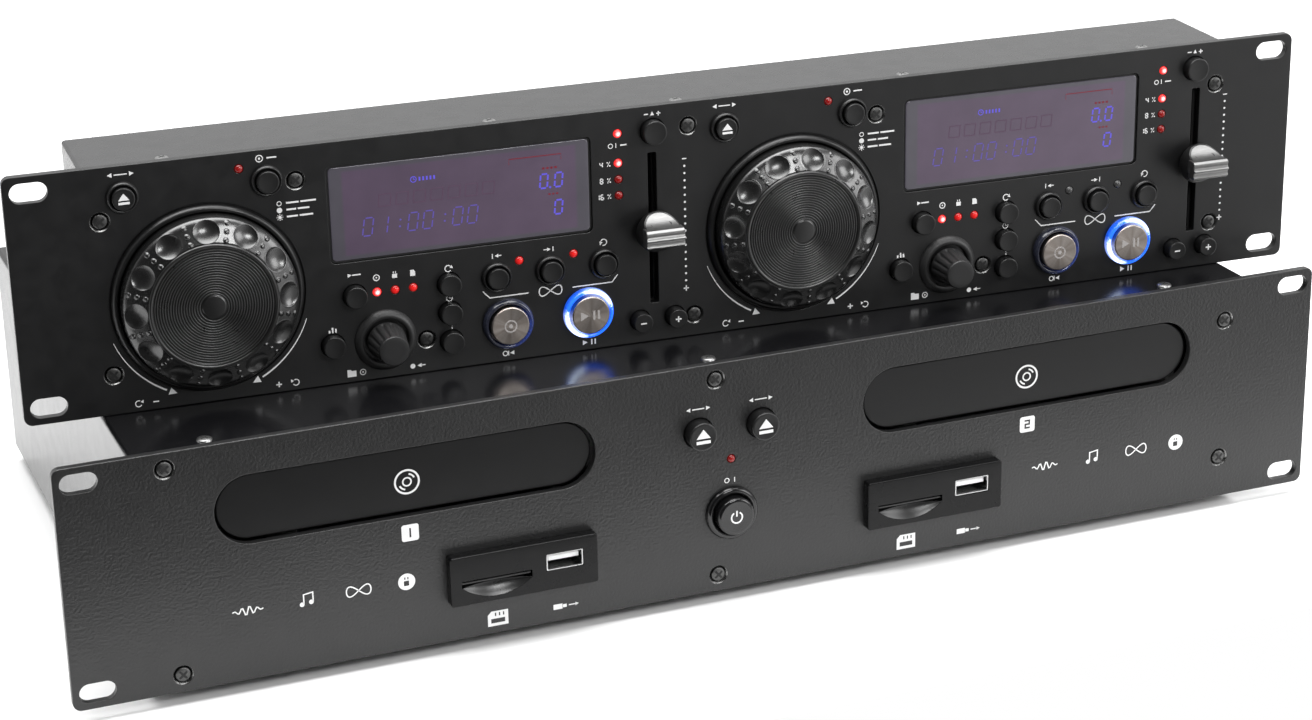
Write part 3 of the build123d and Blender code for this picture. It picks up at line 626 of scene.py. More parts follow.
def display_glass():
    m = Mat("display window")
    tc = m.node("ShaderNodeTexCoord")
    sep = m.node("ShaderNodeSeparateXYZ")
    m.link(tc.outputs["Object"], sep.inputs[0])
    # the lit field starts a little inside the left and right edges
    field = m.math("MULTIPLY", m.span(m.math("ABSOLUTE", sep.outputs["X"]), 1.0, 0.0, 0.0415, 0.0425), m.span(m.math("ABSOLUTE", sep.outputs["Z"]), 1.0, 0.0, 0.0148, 0.0156))
    slow = m.noise(0.05, 3)
    plain = m.ramp(slow, [(0.3, (0.046, 0.043, 0.052)), (0.7, (0.054, 0.050, 0.060))])
    tint = m.ramp(slow, [(0.3, (0.040, 0.031, 0.044)), (0.7, (0.048, 0.037, 0.052))])
    m.color(m.mixc(field, plain, tint))
    m.rough(m.span(m.noise(0.4, 3), 0.10, 0.16))
    m.normal(m.bump(m.noise(0.12, 2), 0.006))
    m.link(m.mixc(field, (0.030, 0.028, 0.036), (0.056, 0.036, 0.064)), m.b.inputs["Emission Color"])
    m.link(m.span(slow, 0.80, 1.00), m.b.inputs["Emission Strength"])
    m.set(Coat_Weight=1.0, Coat_Roughness=0.04, IOR=1.5)
    return m.m


def segment(name, col, strength):
    m = Mat(name)
    m.color(m.ramp(m.noise(2.0, 3), [(0.3, tuple(c * 0.10 for c in col)), (0.7, tuple(c * 0.14 for c in col))]))
    m.rough(m.span(m.noise(2.0, 3), 0.3, 0.4))
    e = m.b.inputs
    m.link(m.mixc(m.span(m.noise(1.5, 3), 0.0, 0.5), col, tuple(min(1, c * 1.2) for c in col)), e["Emission Color"])
    m.link(m.span(m.noise(3.0, 3), strength * 0.85, strength * 1.1), e["Emission Strength"])
    return m.m


def jog_ring_mat():
    m = Mat("jog ring plastic")
    m.color(m.ramp(m.noise(0.25, 4), [(0.3, 0.0060), (0.7, 0.0085)]))
    m.rough(m.span(m.noise(0.08, 3), 0.25, 0.28))
    m.normal(m.bump(m.noise(5.0, 2, 0.5), 0.0022))
    m.set(Specular_IOR_Level=1.0)
    return m.m


def jog_disc_mat():
    m = Mat("jog disc plastic")
    tc = m.node("ShaderNodeTexCoord")
    sep = m.node("ShaderNodeSeparateXYZ")
    m.link(tc.outputs["Object"], sep.inputs[0])
    rr = m.math("SQRT", m.math("ADD", m.math("MULTIPLY", sep.outputs["X"], sep.outputs["X"]), m.math("MULTIPLY", sep.outputs["Z"], sep.outputs["Z"])))
    rr = m.math("MULTIPLY", rr, 1000.0)
    # ridge tops are painted paler than the valleys between them: a painted highlight along each ridge
    wave = m.math("COSINE", m.math("MULTIPLY", m.math("SUBTRACT", rr, 4.45 + 0.59 * 0.9), 2 * PI / 0.9))
    ridge = m.math("POWER", m.math("MULTIPLY_ADD", wave, 0.5, 0.5), 2.2)
    ridge = m.math("MULTIPLY", ridge, m.math("MULTIPLY", m.span(rr, 0.0, 1.0, 4.2, 4.5), m.span(rr, 1.0, 0.0, 20.5, 20.8)))
    ridge = m.math("MULTIPLY", ridge, m.span(m.noise(0.12, 3), 0.65, 1.0))
    m.color(m.mixc(ridge, m.ramp(m.noise(0.25, 4), [(0.3, 0.0045), (0.7, 0.0065)]), (0.040, 0.040, 0.040)))
    m.rough(m.span(m.noise(0.08, 3), 0.27, 0.30))
    m.normal(m.bump(m.noise(5.0, 2, 0.5), 0.0007))
    m.set(Specular_IOR_Level=0.8)
    return m.m


def board_mat(name, front_y):
    """Circuit board and what is on it: green-brown laminate, dark parts in front of it."""
    m = Mat(name)
    base = m.ramp(m.noise(0.6, 5), [(0.42, (0.006, 0.035, 0.012)), (0.50, (0.012, 0.060, 0.020)), (0.56, (0.03, 0.09, 0.03))])
    parts = m.ramp(m.noise(1.0, 3), [(0.3, (0.010, 0.010, 0.011)), (0.7, (0.018, 0.018, 0.019))])
    tc = m.node("ShaderNodeTexCoord")
    sep = m.node("ShaderNodeSeparateXYZ")
    m.link(tc.outputs["Object"], sep.inputs[0])
    m.color(m.mixc(m.span(sep.outputs["Y"], 0.0, 1.0, front_y - 0.0002, front_y), parts, base))
    m.rough(m.span(m.noise(0.8, 3), 0.35, 0.55))
    m.normal(m.bump(m.noise(1.5, 3), 0.02))
    return m.m


def sockets_mat():
    """Metal of the rear sockets: patchy grey colour and roughness with fine bumps."""
    m = Mat("rear socket metal")
    n = m.noise(0.5, 4)
    m.color(m.ramp(n, [(0.3, 0.28), (0.7, 0.46)]))
    m.rough(m.span(m.noise(1.5, 3), 0.22, 0.36))
    m.normal(m.bump(m.noise(2.2, 3), 0.006))
    m.set(Metallic=0.9)
    return m.m


M["rubber"] = rubber()
M["cap_metal"] = turned_cap()
M["fader_metal"] = metal("brushed fader metal", (0.17, 0.17, 0.168), (0.23, 0.23, 0.228), 0.34, 0.44, stretch=(0.08, 1, 1), scale=5.0, bump_mm=0.010)
M["screw"] = metal("black-zinc screw", (0.075, 0.075, 0.075), (0.115, 0.115, 0.113), 0.38, 0.48, scale=2.5, bump_mm=0.008)
M["cone"] = metal("countersink", (0.15, 0.15, 0.15), (0.24, 0.24, 0.235), 0.22, 0.32, scale=2.5, bump_mm=0.006)
M["top_screw"] = metal("zinc screw", (0.24, 0.24, 0.24), (0.36, 0.36, 0.355), 0.30, 0.40, scale=2.5, bump_mm=0.006)
M["shell"] = metal("tinned socket shell", (0.36, 0.36, 0.36), (0.50, 0.50, 0.50), 0.20, 0.30, scale=2.0, bump_mm=0.004)
M["led_on"] = glow("red indicator, bright", (1.0, 0.03, 0.03), 3.4)
M["led_mid"] = glow("red indicator", (0.85, 0.018, 0.016), 0.85, (0.22, 0.006, 0.006))
M["led_dim"] = glow("red indicator, dim", (0.7, 0.010, 0.008), 0.26, (0.11, 0.004, 0.004))
# the unlit clear indicator still gets a faint grey glow: painted light
M["led_off"] = glow("clear indicator, faint painted glow", (0.10, 0.10, 0.10), 0.05, (0.045, 0.045, 0.045))
M["ring_on"] = light_ring("lit button ring", True)
M["ring_off"] = light_ring("unlit button ring", False)
M["glass"] = display_glass()
M["seg_blue"] = segment("display figures", (0.14, 0.11, 0.78), 0.80)
M["seg_dim"] = segment("display figures, faint", (0.15, 0.11, 0.56), 0.62)
M["seg_red"] = segment("display bar", (0.45, 0.02, 0.05), 0.30)
M["ghost"] = segment("unlit display figures", (0.080, 0.044, 0.078), 1.0)
M["jog_ring"] = jog_ring_mat()
M["jog_disc"] = jog_disc_mat()
M["board"] = board_mat("controller circuit board", 0.0)
M["sockets"] = sockets_mat()
M["white_tongue"] = paint("socket tongue", (0.75, 0.75, 0.75), (0.85, 0.85, 0.85), 0.35, 0.45, 3.0, 0.004)

# ================================================================ shared pieces
RACK_SLOTS = [(P(0) + RACK_W / 2 + sx * 232.55, 44.05 + sz * 38.1) for sx in (-1, 1) for sz in (-1, 1)]


def hole(x, z, r):
    return list(reversed(circle(x, z, r, max(24, int(r * 5)))))


def cap_piece(name, body, x, z, r, proud, place, mat="plastic", slot="black_plastic", step=3.4, rear=6.2, dish=0.0, edge=0.55, n=64):
    """A push button: rounded cap with a faint dish in its face."""
    prof = [(0, -proud + dish), (r * 0.62, -proud + dish * 0.5, 0.8), (r - edge * 0.2, -proud, edge), (r, -proud + edge, edge), (r, step), (r + 0.5, step), (r + 0.5, step + 1.2),
            (2.4, step + 1.2), (2.4, rear), (0, rear)]
    v, f = lathe(fil(prof), n)
    return build(name, *moved((v, f), x, 0, z), M[mat], place, body, slot, sharp=40, origin=(x, 0, z))


def screw_mesh(head=2.55, top=-0.15, depth=5.0, slot_w=0.62):
    """A cross-recess screw head, raised a little, sunk in its countersink; the recess itself is not cut, a black cross
    of painted shade stands in for it.
    """
    n = 48
    prof = fil([(0.0, top), (head * 0.55, top + 0.06), (head * 0.9, top + 0.28, 0.2), (head, top + 0.55, 0.1), (1.6, 1.9), (1.5, depth), (0, depth)])
    v, f = lathe(prof, n)
    return v, f


def cross(head=2.55, top=-0.17, size=1.8, w=0.86):
    """The recess's dark cross as four tapering wings: painted shade, a black shape standing a little proud of the head
    where the recess would be in shade.
    """
    parts = []
    for k in range(4):
        a = PI / 4 * 0.9 + k * PI / 2
        c, s = math.cos(a), math.sin(a)
        loop = [(0.0, 0.0), (w * 0.5, -w * 0.5), (size, -w * 0.42), (size, w * 0.42), (w * 0.5, w * 0.5)]
        parts.append(poly([(x * c - z * s, x * s + z * c) for x, z in loop], top - 0.03, top + 0.3))
    return join(*parts)


# ================================================================ CONTROLLER
ctl_holes = []
for dx in DECKS:
    for x, z, r, _, _ in BUTTONS.values():
        ctl_holes.append(hole(P(x + dx), z, r + 0.35))
    for x, z in (CUE, PLAY):
        ctl_holes.append(hole(P(x + dx), z, 8.6))
    for x, z in LEDS:
        ctl_holes.append(hole(P(x + dx), z, 1.62))
    ctl_holes.append(hole(P(KNOB[0] + dx), KNOB[1], 5.0))
    ctl_holes.append(list(reversed(rrect(P(WIN[0] + dx), WIN[1], WIN[2] + 0.5, WIN[3] + 0.5, 2.1, 8))))
    ctl_holes.append(list(reversed(rrect(P(FADER[0] + dx * 1.007), FADER[1], 3.3, 56.3, 0.5, 4))))
for x in JOGS:
    ctl_holes.append(hole(P(x), JOG_Z, 33.9))
for x, z in CTL_SCREWS:
    ctl_holes.append(hole(P(x), z, 3.45))
for x, z in RACK_SLOTS:
    ctl_holes.append(list(reversed(stadium(x, z, 12.7, 7.0, 12))))
v, f = plate(rrect(0, 44.05, RACK_W, RACK_H, 3.0, 10), ctl_holes, 0.0, 3.0, 0.35, 3, hole_bevel=0.16)
ob = build("controller_front_plate", v, f, M["ctl_panel"], CTL, "controller", "controller_panel_paint", check=False)
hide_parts("controller_front_panel")

# countersinks and screws of the controller panel
cones, heads, crosses = [], [], []
for x, z in CTL_SCREWS:
    cones.append(moved(lathe([(3.50, 0.02), (3.40, 0.06), (2.62, 0.95), (2.62, 2.9), (3.50, 2.9), (3.50, 0.02)], 40), P(x), 0, z))
    heads.append(moved(screw_mesh(), P(x), 0, z))
    crosses.append(moved(cross(), P(x), 0, z))
build("controller_countersinks", *join(*cones), M["cone"], CTL, "controller", "controller_panel_paint", check=False)
ob = build("controller_panel_screws", *join(*heads), M["screw"], CTL, "controller", "screw_steel", check=False)
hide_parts("controller_screws")
# painted shade: black crosses stand for the shaded cross recesses of the screws
build("controller_screw_recess_shade", *join(*crosses), M["black"], CTL, "controller", "screw_steel", check=False)


def top_screw(x, y, z, head, proud):
    """A screw driven down into a top face: (points, faces)."""
    v, f = lathe(fil([(0, -proud), (head * 0.5, -proud), (head * 0.92, -proud * 0.6, 0.3), (head, 0), (1.4, 0), (1.4, 3.5), (0, 3.5)]), 40)
    c, g = cross(head, -proud, head * 0.55, 0.45)
    out = []
    for vv in (v, c):
        w = np.array(vv)
        out.append(np.stack([w[:, 0] + x, w[:, 2] + y, -w[:, 1] + z], 1))
    f2 = [tuple(reversed(t)) for t in f]
    g2 = [tuple(reversed(t)) for t in g]
    return (out[0], f2), (out[1], g2)


pairs = [top_screw(P(x), 7.5, 86.6, 2.4, 0.8) for x in CASE_SCREW_X]
build("controller_case_screws", *join(*[a for a, _ in pairs]), M["top_screw"], CTL, "controller", "screw_steel", check=False)
# painted shade: black crosses stand for the shaded cross recesses of the case screws
build("controller_case_screw_recess_shade", *join(*[b for _, b in pairs]), M["black"], CTL, "controller", "screw_steel", check=False)

# collars, jog bezels and knob base rings
trim = []
for dx in DECKS:
    for x, z, r, _, collar in BUTTONS.values():
        if collar:
            trim.append(moved(lathe(fil([(r + 0.35, 0.6), (r + 0.35, -1.45, 0.25), (r + 0.8, -1.8, 0.25), (5.0, -1.8, 0.5), (5.5, -1.1, 0.5), (5.5, 0.05)]), 56), P(x + dx), 0, z))
ob = build("controller_collars", *join(*trim), M["plastic"], CTL, "controller", "black_plastic", check=False)
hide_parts("controller_trim")
bez = []
for x in JOGS:
    bez.append(moved(lathe(fil([(31.05, 3.2), (31.05, -1.5, 0.15), (31.45, -1.85, 0.3), (32.3, -1.85, 0.5), (33.0, -0.9, 0.4), (33.25, 0.1), (33.35, 0.9), (33.9, 0.9), (33.9, 3.2)]), 160), P(x), 0, JOG_Z))
build("controller_jog_bezels", *join(*bez), M["plastic"], CTL, "controller", "black_plastic", check=False)
kb = []
for dx in DECKS:
    kb.append(moved(lathe(fil([(8.0, 0.3), (8.0, -1.5, 0.3), (8.5, -2.1, 0.6), (9.7, -2.15, 1.2), (11.0, -0.8, 0.7), (11.2, 0.05)]), 80), P(KNOB[0] + dx), 0, KNOB[1]))
build("controller_knob_rings", *join(*kb), M["satin"], CTL, "controller", "black_plastic", check=False)
floors = []
for dx in DECKS:
    floors.append(moved(lathe([(4.9, 0.15), (8.0, 0.15), (8.0, 1.2), (4.9, 1.2), (4.9, 0.15)], 60), P(KNOB[0] + dx), 0, KNOB[1]))
build("controller_knob_wells", *join(*floors), M["black"], CTL, "controller", "black_plastic", check=False)

# jog wheels
DIMPLES = (91.0, 80.7)


def jog_ring(turn):
    """The finger ring: conical face with twelve finger dimples and three bumps between each pair."""
    prof = fil([(22.3, -10.35), (22.7, -10.35, 0.3), (28.9, -7.45, 1.4), (30.35, -6.1, 0.9), (30.4, -4.6), (30.4, -3.0)], 6)
    rs = [22.3, 22.45]
    rs += list(np.arange(22.6, 30.31, 0.14))
    rs = np.array(rs)
    pr = np.array(prof)
    # y against r along the face, up to the outer edge
    keep = np.concatenate([[True], np.diff(pr[:, 0]) > 1e-6])
    ys = np.interp(rs, pr[keep, 0], pr[keep, 1])
    n = 900
    th = np.arange(n) * 2 * PI / n
    R, T = np.meshgrid(rs, th, indexing="ij")
    Y = np.repeat(ys[:, None], n, 1)
    rc = 26.15
    for k in range(12):
        a = math.radians(turn + 30 * k)
        d = (T - a + PI) % (2 * PI) - PI
        q = ((d * rc) / 4.35) ** 2 + ((R - rc) / 3.65) ** 2
        Y += np.where(q < 1, 1.35 * (1 - q) ** 0.86, 0)
        lip = np.exp(-((np.sqrt(q) - 1.03) / 0.05) ** 2)
        Y -= 0.05 * lip
        for r0 in (23.5, 26.3, 29.0):
            a2 = a + math.radians(15)
            d2 = (T - a2 + PI) % (2 * PI) - PI
            q2 = ((d2 * r0) ** 2 + (R - r0) ** 2) / 0.85 ** 2
            Y -= np.where(q2 < 1, 0.5 * np.sqrt(np.clip(1 - q2, 0, 1)), 0)
    V = np.stack([R * np.cos(T), Y, R * np.sin(T)], -1).reshape(-1, 3)
    faces = []
    m = len(rs)
    for i in range(m - 1):
        b0, b1 = i * n, (i + 1) * n
        for j in range(n):
            k = (j + 1) % n
            faces.append((b0 + j, b1 + j, b1 + k, b0 + k))
    # outer wall
    last = (m - 1) * n
    extra = [(30.4, float(ys[-1]) + 0.35), (30.4, 2.0), (29.0, 2.0)]
    base = len(V)
    add = []
    for r, y in extra:
        add += [(r * math.cos(t), y, r * math.sin(t)) for t in th]
    V = np.concatenate([V, np.array(add)])
    prev = last
    for e in range(len(extra)):
        b1 = base + e * n
        for j in range(n):
            k = (j + 1) % n
            faces.append((prev + j, b1 + j, b1 + k, prev + k))
        prev = b1
    return V, faces


def jog_disc():
    """The touch disc: concentric grooves round a flat hub, raised lip at its edge."""
    prof = [(0.0, -10.82), (3.7, -10.82), (3.95, -10.78), (4.15, -10.35)]
    r, pitch = 4.45, 0.900
    while r < 20.6 - pitch * 0.4:
        # rounded ridges with flat dark valleys between them
        for t, h in ((0.0, 0.0), (0.22, 0.0), (0.34, 0.42), (0.44, 0.78), (0.54, 0.96), (0.64, 0.96), (0.74, 0.78), (0.84, 0.42), (0.96, 0.0)):
            prof.append((r + pitch * t, -10.30 - 0.52 * h))
        r += pitch
    prof += [(20.75, -10.42), (20.95, -10.42), (21.05, -10.75), (21.2, -10.95), (21.9, -11.0), (22.25, -10.8), (22.35, -10.3), (22.4, -9.5), (20.0, -9.5), (0, -9.5)]
    return lathe(prof, 160)


for i, x in enumerate(JOGS, 1):
    v, f = jog_ring(DIMPLES[i - 1])
    ob = build(f"jog_ring_{i}", *moved((v, f), P(x), 0, JOG_Z), M["jog_ring"], CTL, f"jog_wheel_{i}", "black_plastic", weighted=False, sharp=50, check=False, origin=(P(x), 0, JOG_Z))
    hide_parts(f"jog_wheel_{i}")
    v, f = jog_disc()
    build(f"jog_disc_{i}", *moved((v, f), P(x), 0, JOG_Z), M["jog_disc"], CTL, f"jog_wheel_{i}", "black_plastic", weighted=False, sharp=60, check=False, origin=(P(x), 0, JOG_Z))
    v, f = lathe([(0, 2.2), (29.0, 2.2), (29.0, 2.6), (0, 2.6)], 64)
    build(f"jog_back_{i}", *moved((v, f), P(x), 0, JOG_Z), M["black"], CTL, f"jog_wheel_{i}", "black_plastic", check=False, origin=(P(x), 0, JOG_Z))

# track knobs
def knob_mesh():
    flutes = 14

    def rad(a, r, y):
        # grooves run down the tapered grip, fading out at its front edge and its foot
        depth = max(0.0, min(1.0, (y + 12.4) / 1.6)) * max(0.0, min(1.0, (-1.8 - y) / 1.2))
        w = (math.cos(a * flutes) + 1) / 2
        return 1.0 - 0.075 * depth * w ** 2.2
    ys = np.linspace(-12.3, -1.6, 22)
    prof = [(0, -12.9), (3.2, -12.95), (4.7, -13.0), (5.15, -12.9), (5.32, -12.65)]
    prof += [(5.42 + (6.95 - 5.42) * (y + 12.3) / 10.7, y) for y in ys]
    prof += [(6.8, -1.4), (5.2, -1.4), (5.2, -5.0), (0, -5.0)]
    return lathe(prof, 224, radius=rad)


for i, dx in enumerate(DECKS, 1):
    x, z = P(KNOB[0] + dx), KNOB[1]
    ob = build(f"knob_grip_{i}", *moved(knob_mesh(), x, 0, z), M["satin"], CTL, f"track_knob_{i}", "black_plastic", weighted=False, sharp=42, check=False, origin=(x, 0, z))
    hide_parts(f"track_knob_{i}")
    ob = build(f"knob_shaft_{i}", *moved(lathe(fil([(0, -4.8), (2.6, -4.8, 0.2), (3.0, -4.5, 0.2), (3.0, 8.6), (0, 8.6)]), 40), x, 0, z), M["shell"], CTL, f"encoder_shaft_{i}", "button_metal", check=False, origin=(x, 0, z))
    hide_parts(f"encoder_shaft_{i}")


# pitch faders
FADER_CURVE = [(6.98, -4.75), (6.6, -5.15), (6.0, -5.9), (5.4, -6.75), (4.8, -7.7), (4.3, -8.7), (3.9, -9.8), (3.6, -11.0), (3.42, -12.2)]


def fader_body():
    """The round foot of the cap, its front cut to the two finger faces."""
    zs = np.array([c[0] for c in FADER_CURVE][::-1])
    ys = np.array([c[1] for c in FADER_CURVE][::-1])
    v, f = lathe(fil([(0, -10.9), (3.0, -10.9), (5.0, -10.9), (6.6, -10.9, 0.4), (7.25, -10.5, 0.4), (7.6, -9.6, 0.4), (7.6, -8.0), (7.6, -6.5), (7.6, -5.0), (7.6, -3.4, 0.5), (6.8, -2.6, 0.4), (0, -2.6)]), 128)
    v = np.array(v)
    z = np.abs(v[:, 2])
    cut = np.interp(np.clip(z, 3.42, 7.6), np.append(zs, 7.6), np.append(ys, -4.3)) + 0.03
    face = np.where(z > 3.42, cut, -12.0)
    v[:, 1] = np.where(v[:, 1] < -2.7, np.maximum(v[:, 1], face), v[:, 1])
    return v, f


def scoop(sign):
    """Half-moon metal face that curves up from the cap's rim to the grip bar."""
    zs = np.array([c[0] for c in FADER_CURVE])
    ys = np.array([c[1] for c in FADER_CURVE])
    zz = np.concatenate([np.linspace(zs[0], 6.6, 6)[:-1], np.linspace(6.6, 3.42, 26)])
    yy = np.interp(-zz, -zs, ys)
    for _ in range(3):
        yy[1:-1] = (yy[:-2] + 2 * yy[1:-1] + yy[2:]) / 4
    nx = 34
    pts, faces = [], []
    r = 7.0
    for z, y in zip(zz, yy):
        half = math.sqrt(max(r * r - z * z, 0.0)) + 0.01
        for j in range(nx + 1):
            u = -1 + 2 * j / nx
            pts.append((u * half, y - 0.12, sign * z))
    for i in range(len(zz) - 1):
        for j in range(nx):
            a = i * (nx + 1) + j
            faces.append((a, a + 1, a + nx + 2, a + nx + 1))
    a, b, c = (np.array(pts[k]) for k in faces[nx * 5][:3])
    if np.cross(b - a, c - b)[1] > 0:
        faces = [tuple(reversed(q)) for q in faces]
    # a thin polished rim round the half-moon
    n = len(zz)
    rim = [(pts[i * (nx + 1)][0], pts[i * (nx + 1)][1], pts[i * (nx + 1)][2]) for i in range(n - 1, -1, -1)]
    rim += [(pts[j][0], pts[j][1], pts[j][2]) for j in range(1, nx)]
    rim += [(pts[i * (nx + 1) + nx][0], pts[i * (nx + 1) + nx][1], pts[i * (nx + 1) + nx][2]) for i in range(n)]
    base = len(pts)
    for x, y, z in rim:
        pts.append((x * 1.022, y + 0.16, z * 1.022))
    first = [i * (nx + 1) for i in range(n - 1, -1, -1)] + list(range(1, nx)) + [i * (nx + 1) + nx for i in range(n)]
    for k in range(len(rim) - 1):
        q = (first[k], first[k + 1], base + k + 1, base + k)
        a, b, c = (np.array(pts[m]) for m in q[:3])
        if np.cross(b - a, c - b)[1] > 0:
            q = tuple(reversed(q))
        faces.append(q)
    return np.array(pts), faces


def fader_bar():
    """The grip bar across the cap: chamfered top, hollowed flanks, a raised line along the middle."""
    half = [(3.5, -9.6), (3.5, -13.15), (3.42, -13.45), (2.75, -14.25), (2.5, -14.3), (1.9, -14.02), (1.2, -13.98), (0.62, -14.2), (0.34, -14.82), (0.18, -14.98)]
    prof = half + [(-z, y) for z, y in reversed(half)]
    xs = [(-7.2, 0.35), (-7.1, 0.12), (-6.9, 0.0), (6.9, 0.0), (7.1, 0.12), (7.2, 0.35)]
    pts, faces = [], []
    n = len(prof)
    for x, inset in xs:
        for z, y in prof:
            s = 1 - inset / 3.5
            pts.append((x, y + (inset * 0.9 if y < -12 else 0), z * s))
    for k in range(len(xs) - 1):
        for i in range(n):
            j = (i + 1) % n
            faces.append((k * n + i, k * n + j, (k + 1) * n + j, (k + 1) * n + i))
    faces.append(tuple(range(n)))
    faces.append(tuple(reversed(range((len(xs) - 1) * n, len(xs) * n))))
    return np.array(pts), faces


for i, dx in enumerate(DECKS, 1):
    x, z = P(FADER[0] + dx * 1.007), FADER[1]
    b = f"pitch_fader_{i}"
    ob = build(f"fader_body_{i}", *moved(fader_body(), x, 0, z), M["plastic"], CTL, b, "black_plastic", check=False, origin=(x, 0, z))
    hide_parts(b)
    build(f"fader_face_{i}", *moved(join(scoop(1), scoop(-1)), x, 0, z), M["fader_metal"], CTL, b, "fader_metal", weighted=False, check=False, origin=(x, 0, z))
    build(f"fader_bar_{i}", *moved(fader_bar(), x, 0, z), M["fader_metal"], CTL, b, "fader_metal", sharp=24, origin=(x, 0, z))
    lv = plate(rrect(0, 0, 1.2, 4.0, 0.2, 3), (), -2.8, 10.0, 0.1, 1)
    build(f"fader_lever_{i}", *moved(lv, x, 0, z), M["shell"], CTL, b, "button_metal", origin=(x, 0, z))

# small buttons
for i, dx in enumerate(DECKS, 1):
    for name, (x, z, r, proud, collar) in BUTTONS.items():
        ob = cap_piece(f"{name}_cap_{i}", f"{name}_{i}", P(x + dx), z, r, proud, CTL, step=3.4, rear=6.6, dish=0.22, edge=0.5)
        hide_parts(f"{name}_{i}")

# cue and play: turned caps in their light rings
ICON_Y = -4.0


def big_cap(x, z, name, body):
    r, p = 7.0, 4.0
    v, f = lathe(fil([(0, -p + 0.06), (4.5, -p + 0.02), (r - 0.35, -p, 0.15), (r, -p + 0.38, 0.25), (r, 4.4), (8.3, 4.4), (8.3, 5.6), (2.4, 5.6), (2.4, 7.0), (0, 7.0)]), 128)
    ob = build(name, *moved((v, f), x, 0, z), M["cap_metal"], CTL, body, "button_metal", check=False, sharp=30, origin=(x, 0, z))
    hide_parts(body)


M["etch"] = paint("etched mark", (0.34, 0.32, 0.31), (0.42, 0.40, 0.39), 0.5, 0.6, 4.0, 0.006)
for i, dx in enumerate(DECKS, 1):
    for key, (x, z) in (("cue", CUE), ("play", PLAY)):
        X = P(x + dx)
        big_cap(X, z, f"{key}_cap_{i}", f"{key}_button_{i}")
        v, f = lathe(fil([(7.4, 4.0), (7.4, -1.9, 0.2), (7.85, -2.55, 0.4), (8.6, -2.6, 0.5), (9.3, -1.4, 0.5), (9.3, 0.05), (8.55, 0.1), (8.55, 4.0)]), 128)
        ob = build(f"{key}_light_ring_{i}", *moved((v, f), X, 0, z), M["ring_on" if key == "play" else "ring_off"], CTL, "controller", "lens_plastic", check=False, origin=(X, 0, z))
        if i == 1 and key == "cue":
            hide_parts("controller_lenses")
    X, z = P(PLAY[0] + dx), PLAY[1]
    marks = [poly([(-3.9, -1.7), (-3.9, 1.7), (-0.9, 0)], -4.02, -3.9), poly([(0.7, -1.7), (1.5, -1.7), (1.5, 1.7), (0.7, 1.7)], -4.02, -3.9),
             poly([(2.4, -1.7), (3.2, -1.7), (3.2, 1.7), (2.4, 1.7)], -4.02, -3.9)]
    build(f"play_mark_{i}", *moved(join(*marks), X, 0, z), M["etch"], CTL, f"play_button_{i}", "button_metal", check=False, origin=(X, 0, z))
    X, z = P(CUE[0] + dx), CUE[1]
    marks = [ringband(0, 0, 2.1, 0.5, -4.02, -3.9), dot(0, 0, 0.75, -4.02, -3.9)]
    build(f"cue_mark_{i}", *moved(join(*marks), X, 0, z), M["etch"], CTL, f"cue_button_{i}", "button_metal", check=False, origin=(X, 0, z))

# indicators: state of each as the photograph has it
STATE = [["led_dim", "led_on", "led_mid", "led_mid", "led_mid", "led_mid", "led_on", "led_on", "led_dim", "led_dim"],
         ["led_dim", "led_on", "led_mid", "led_mid", "led_off", "led_off", "led_on", "led_on", "led_dim", "led_dim"]]
for i, dx in enumerate(DECKS, 1):
    for k, (x, z) in enumerate(LEDS):
        X = P(x + dx)
        v, f = lathe([(0, -0.9), (0.45, -0.86), (0.85, -0.72), (1.15, -0.5), (1.38, -0.2), (1.5, 0.1), (1.5, 6.0), (0, 6.0)], 32)
        build(f"indicator_{i}_{k}", *moved((v, f), X, 0, z), M[STATE[i - 1][k]], CTL, "controller", "lens_plastic", check=False, sharp=60, origin=(X, 0, z))

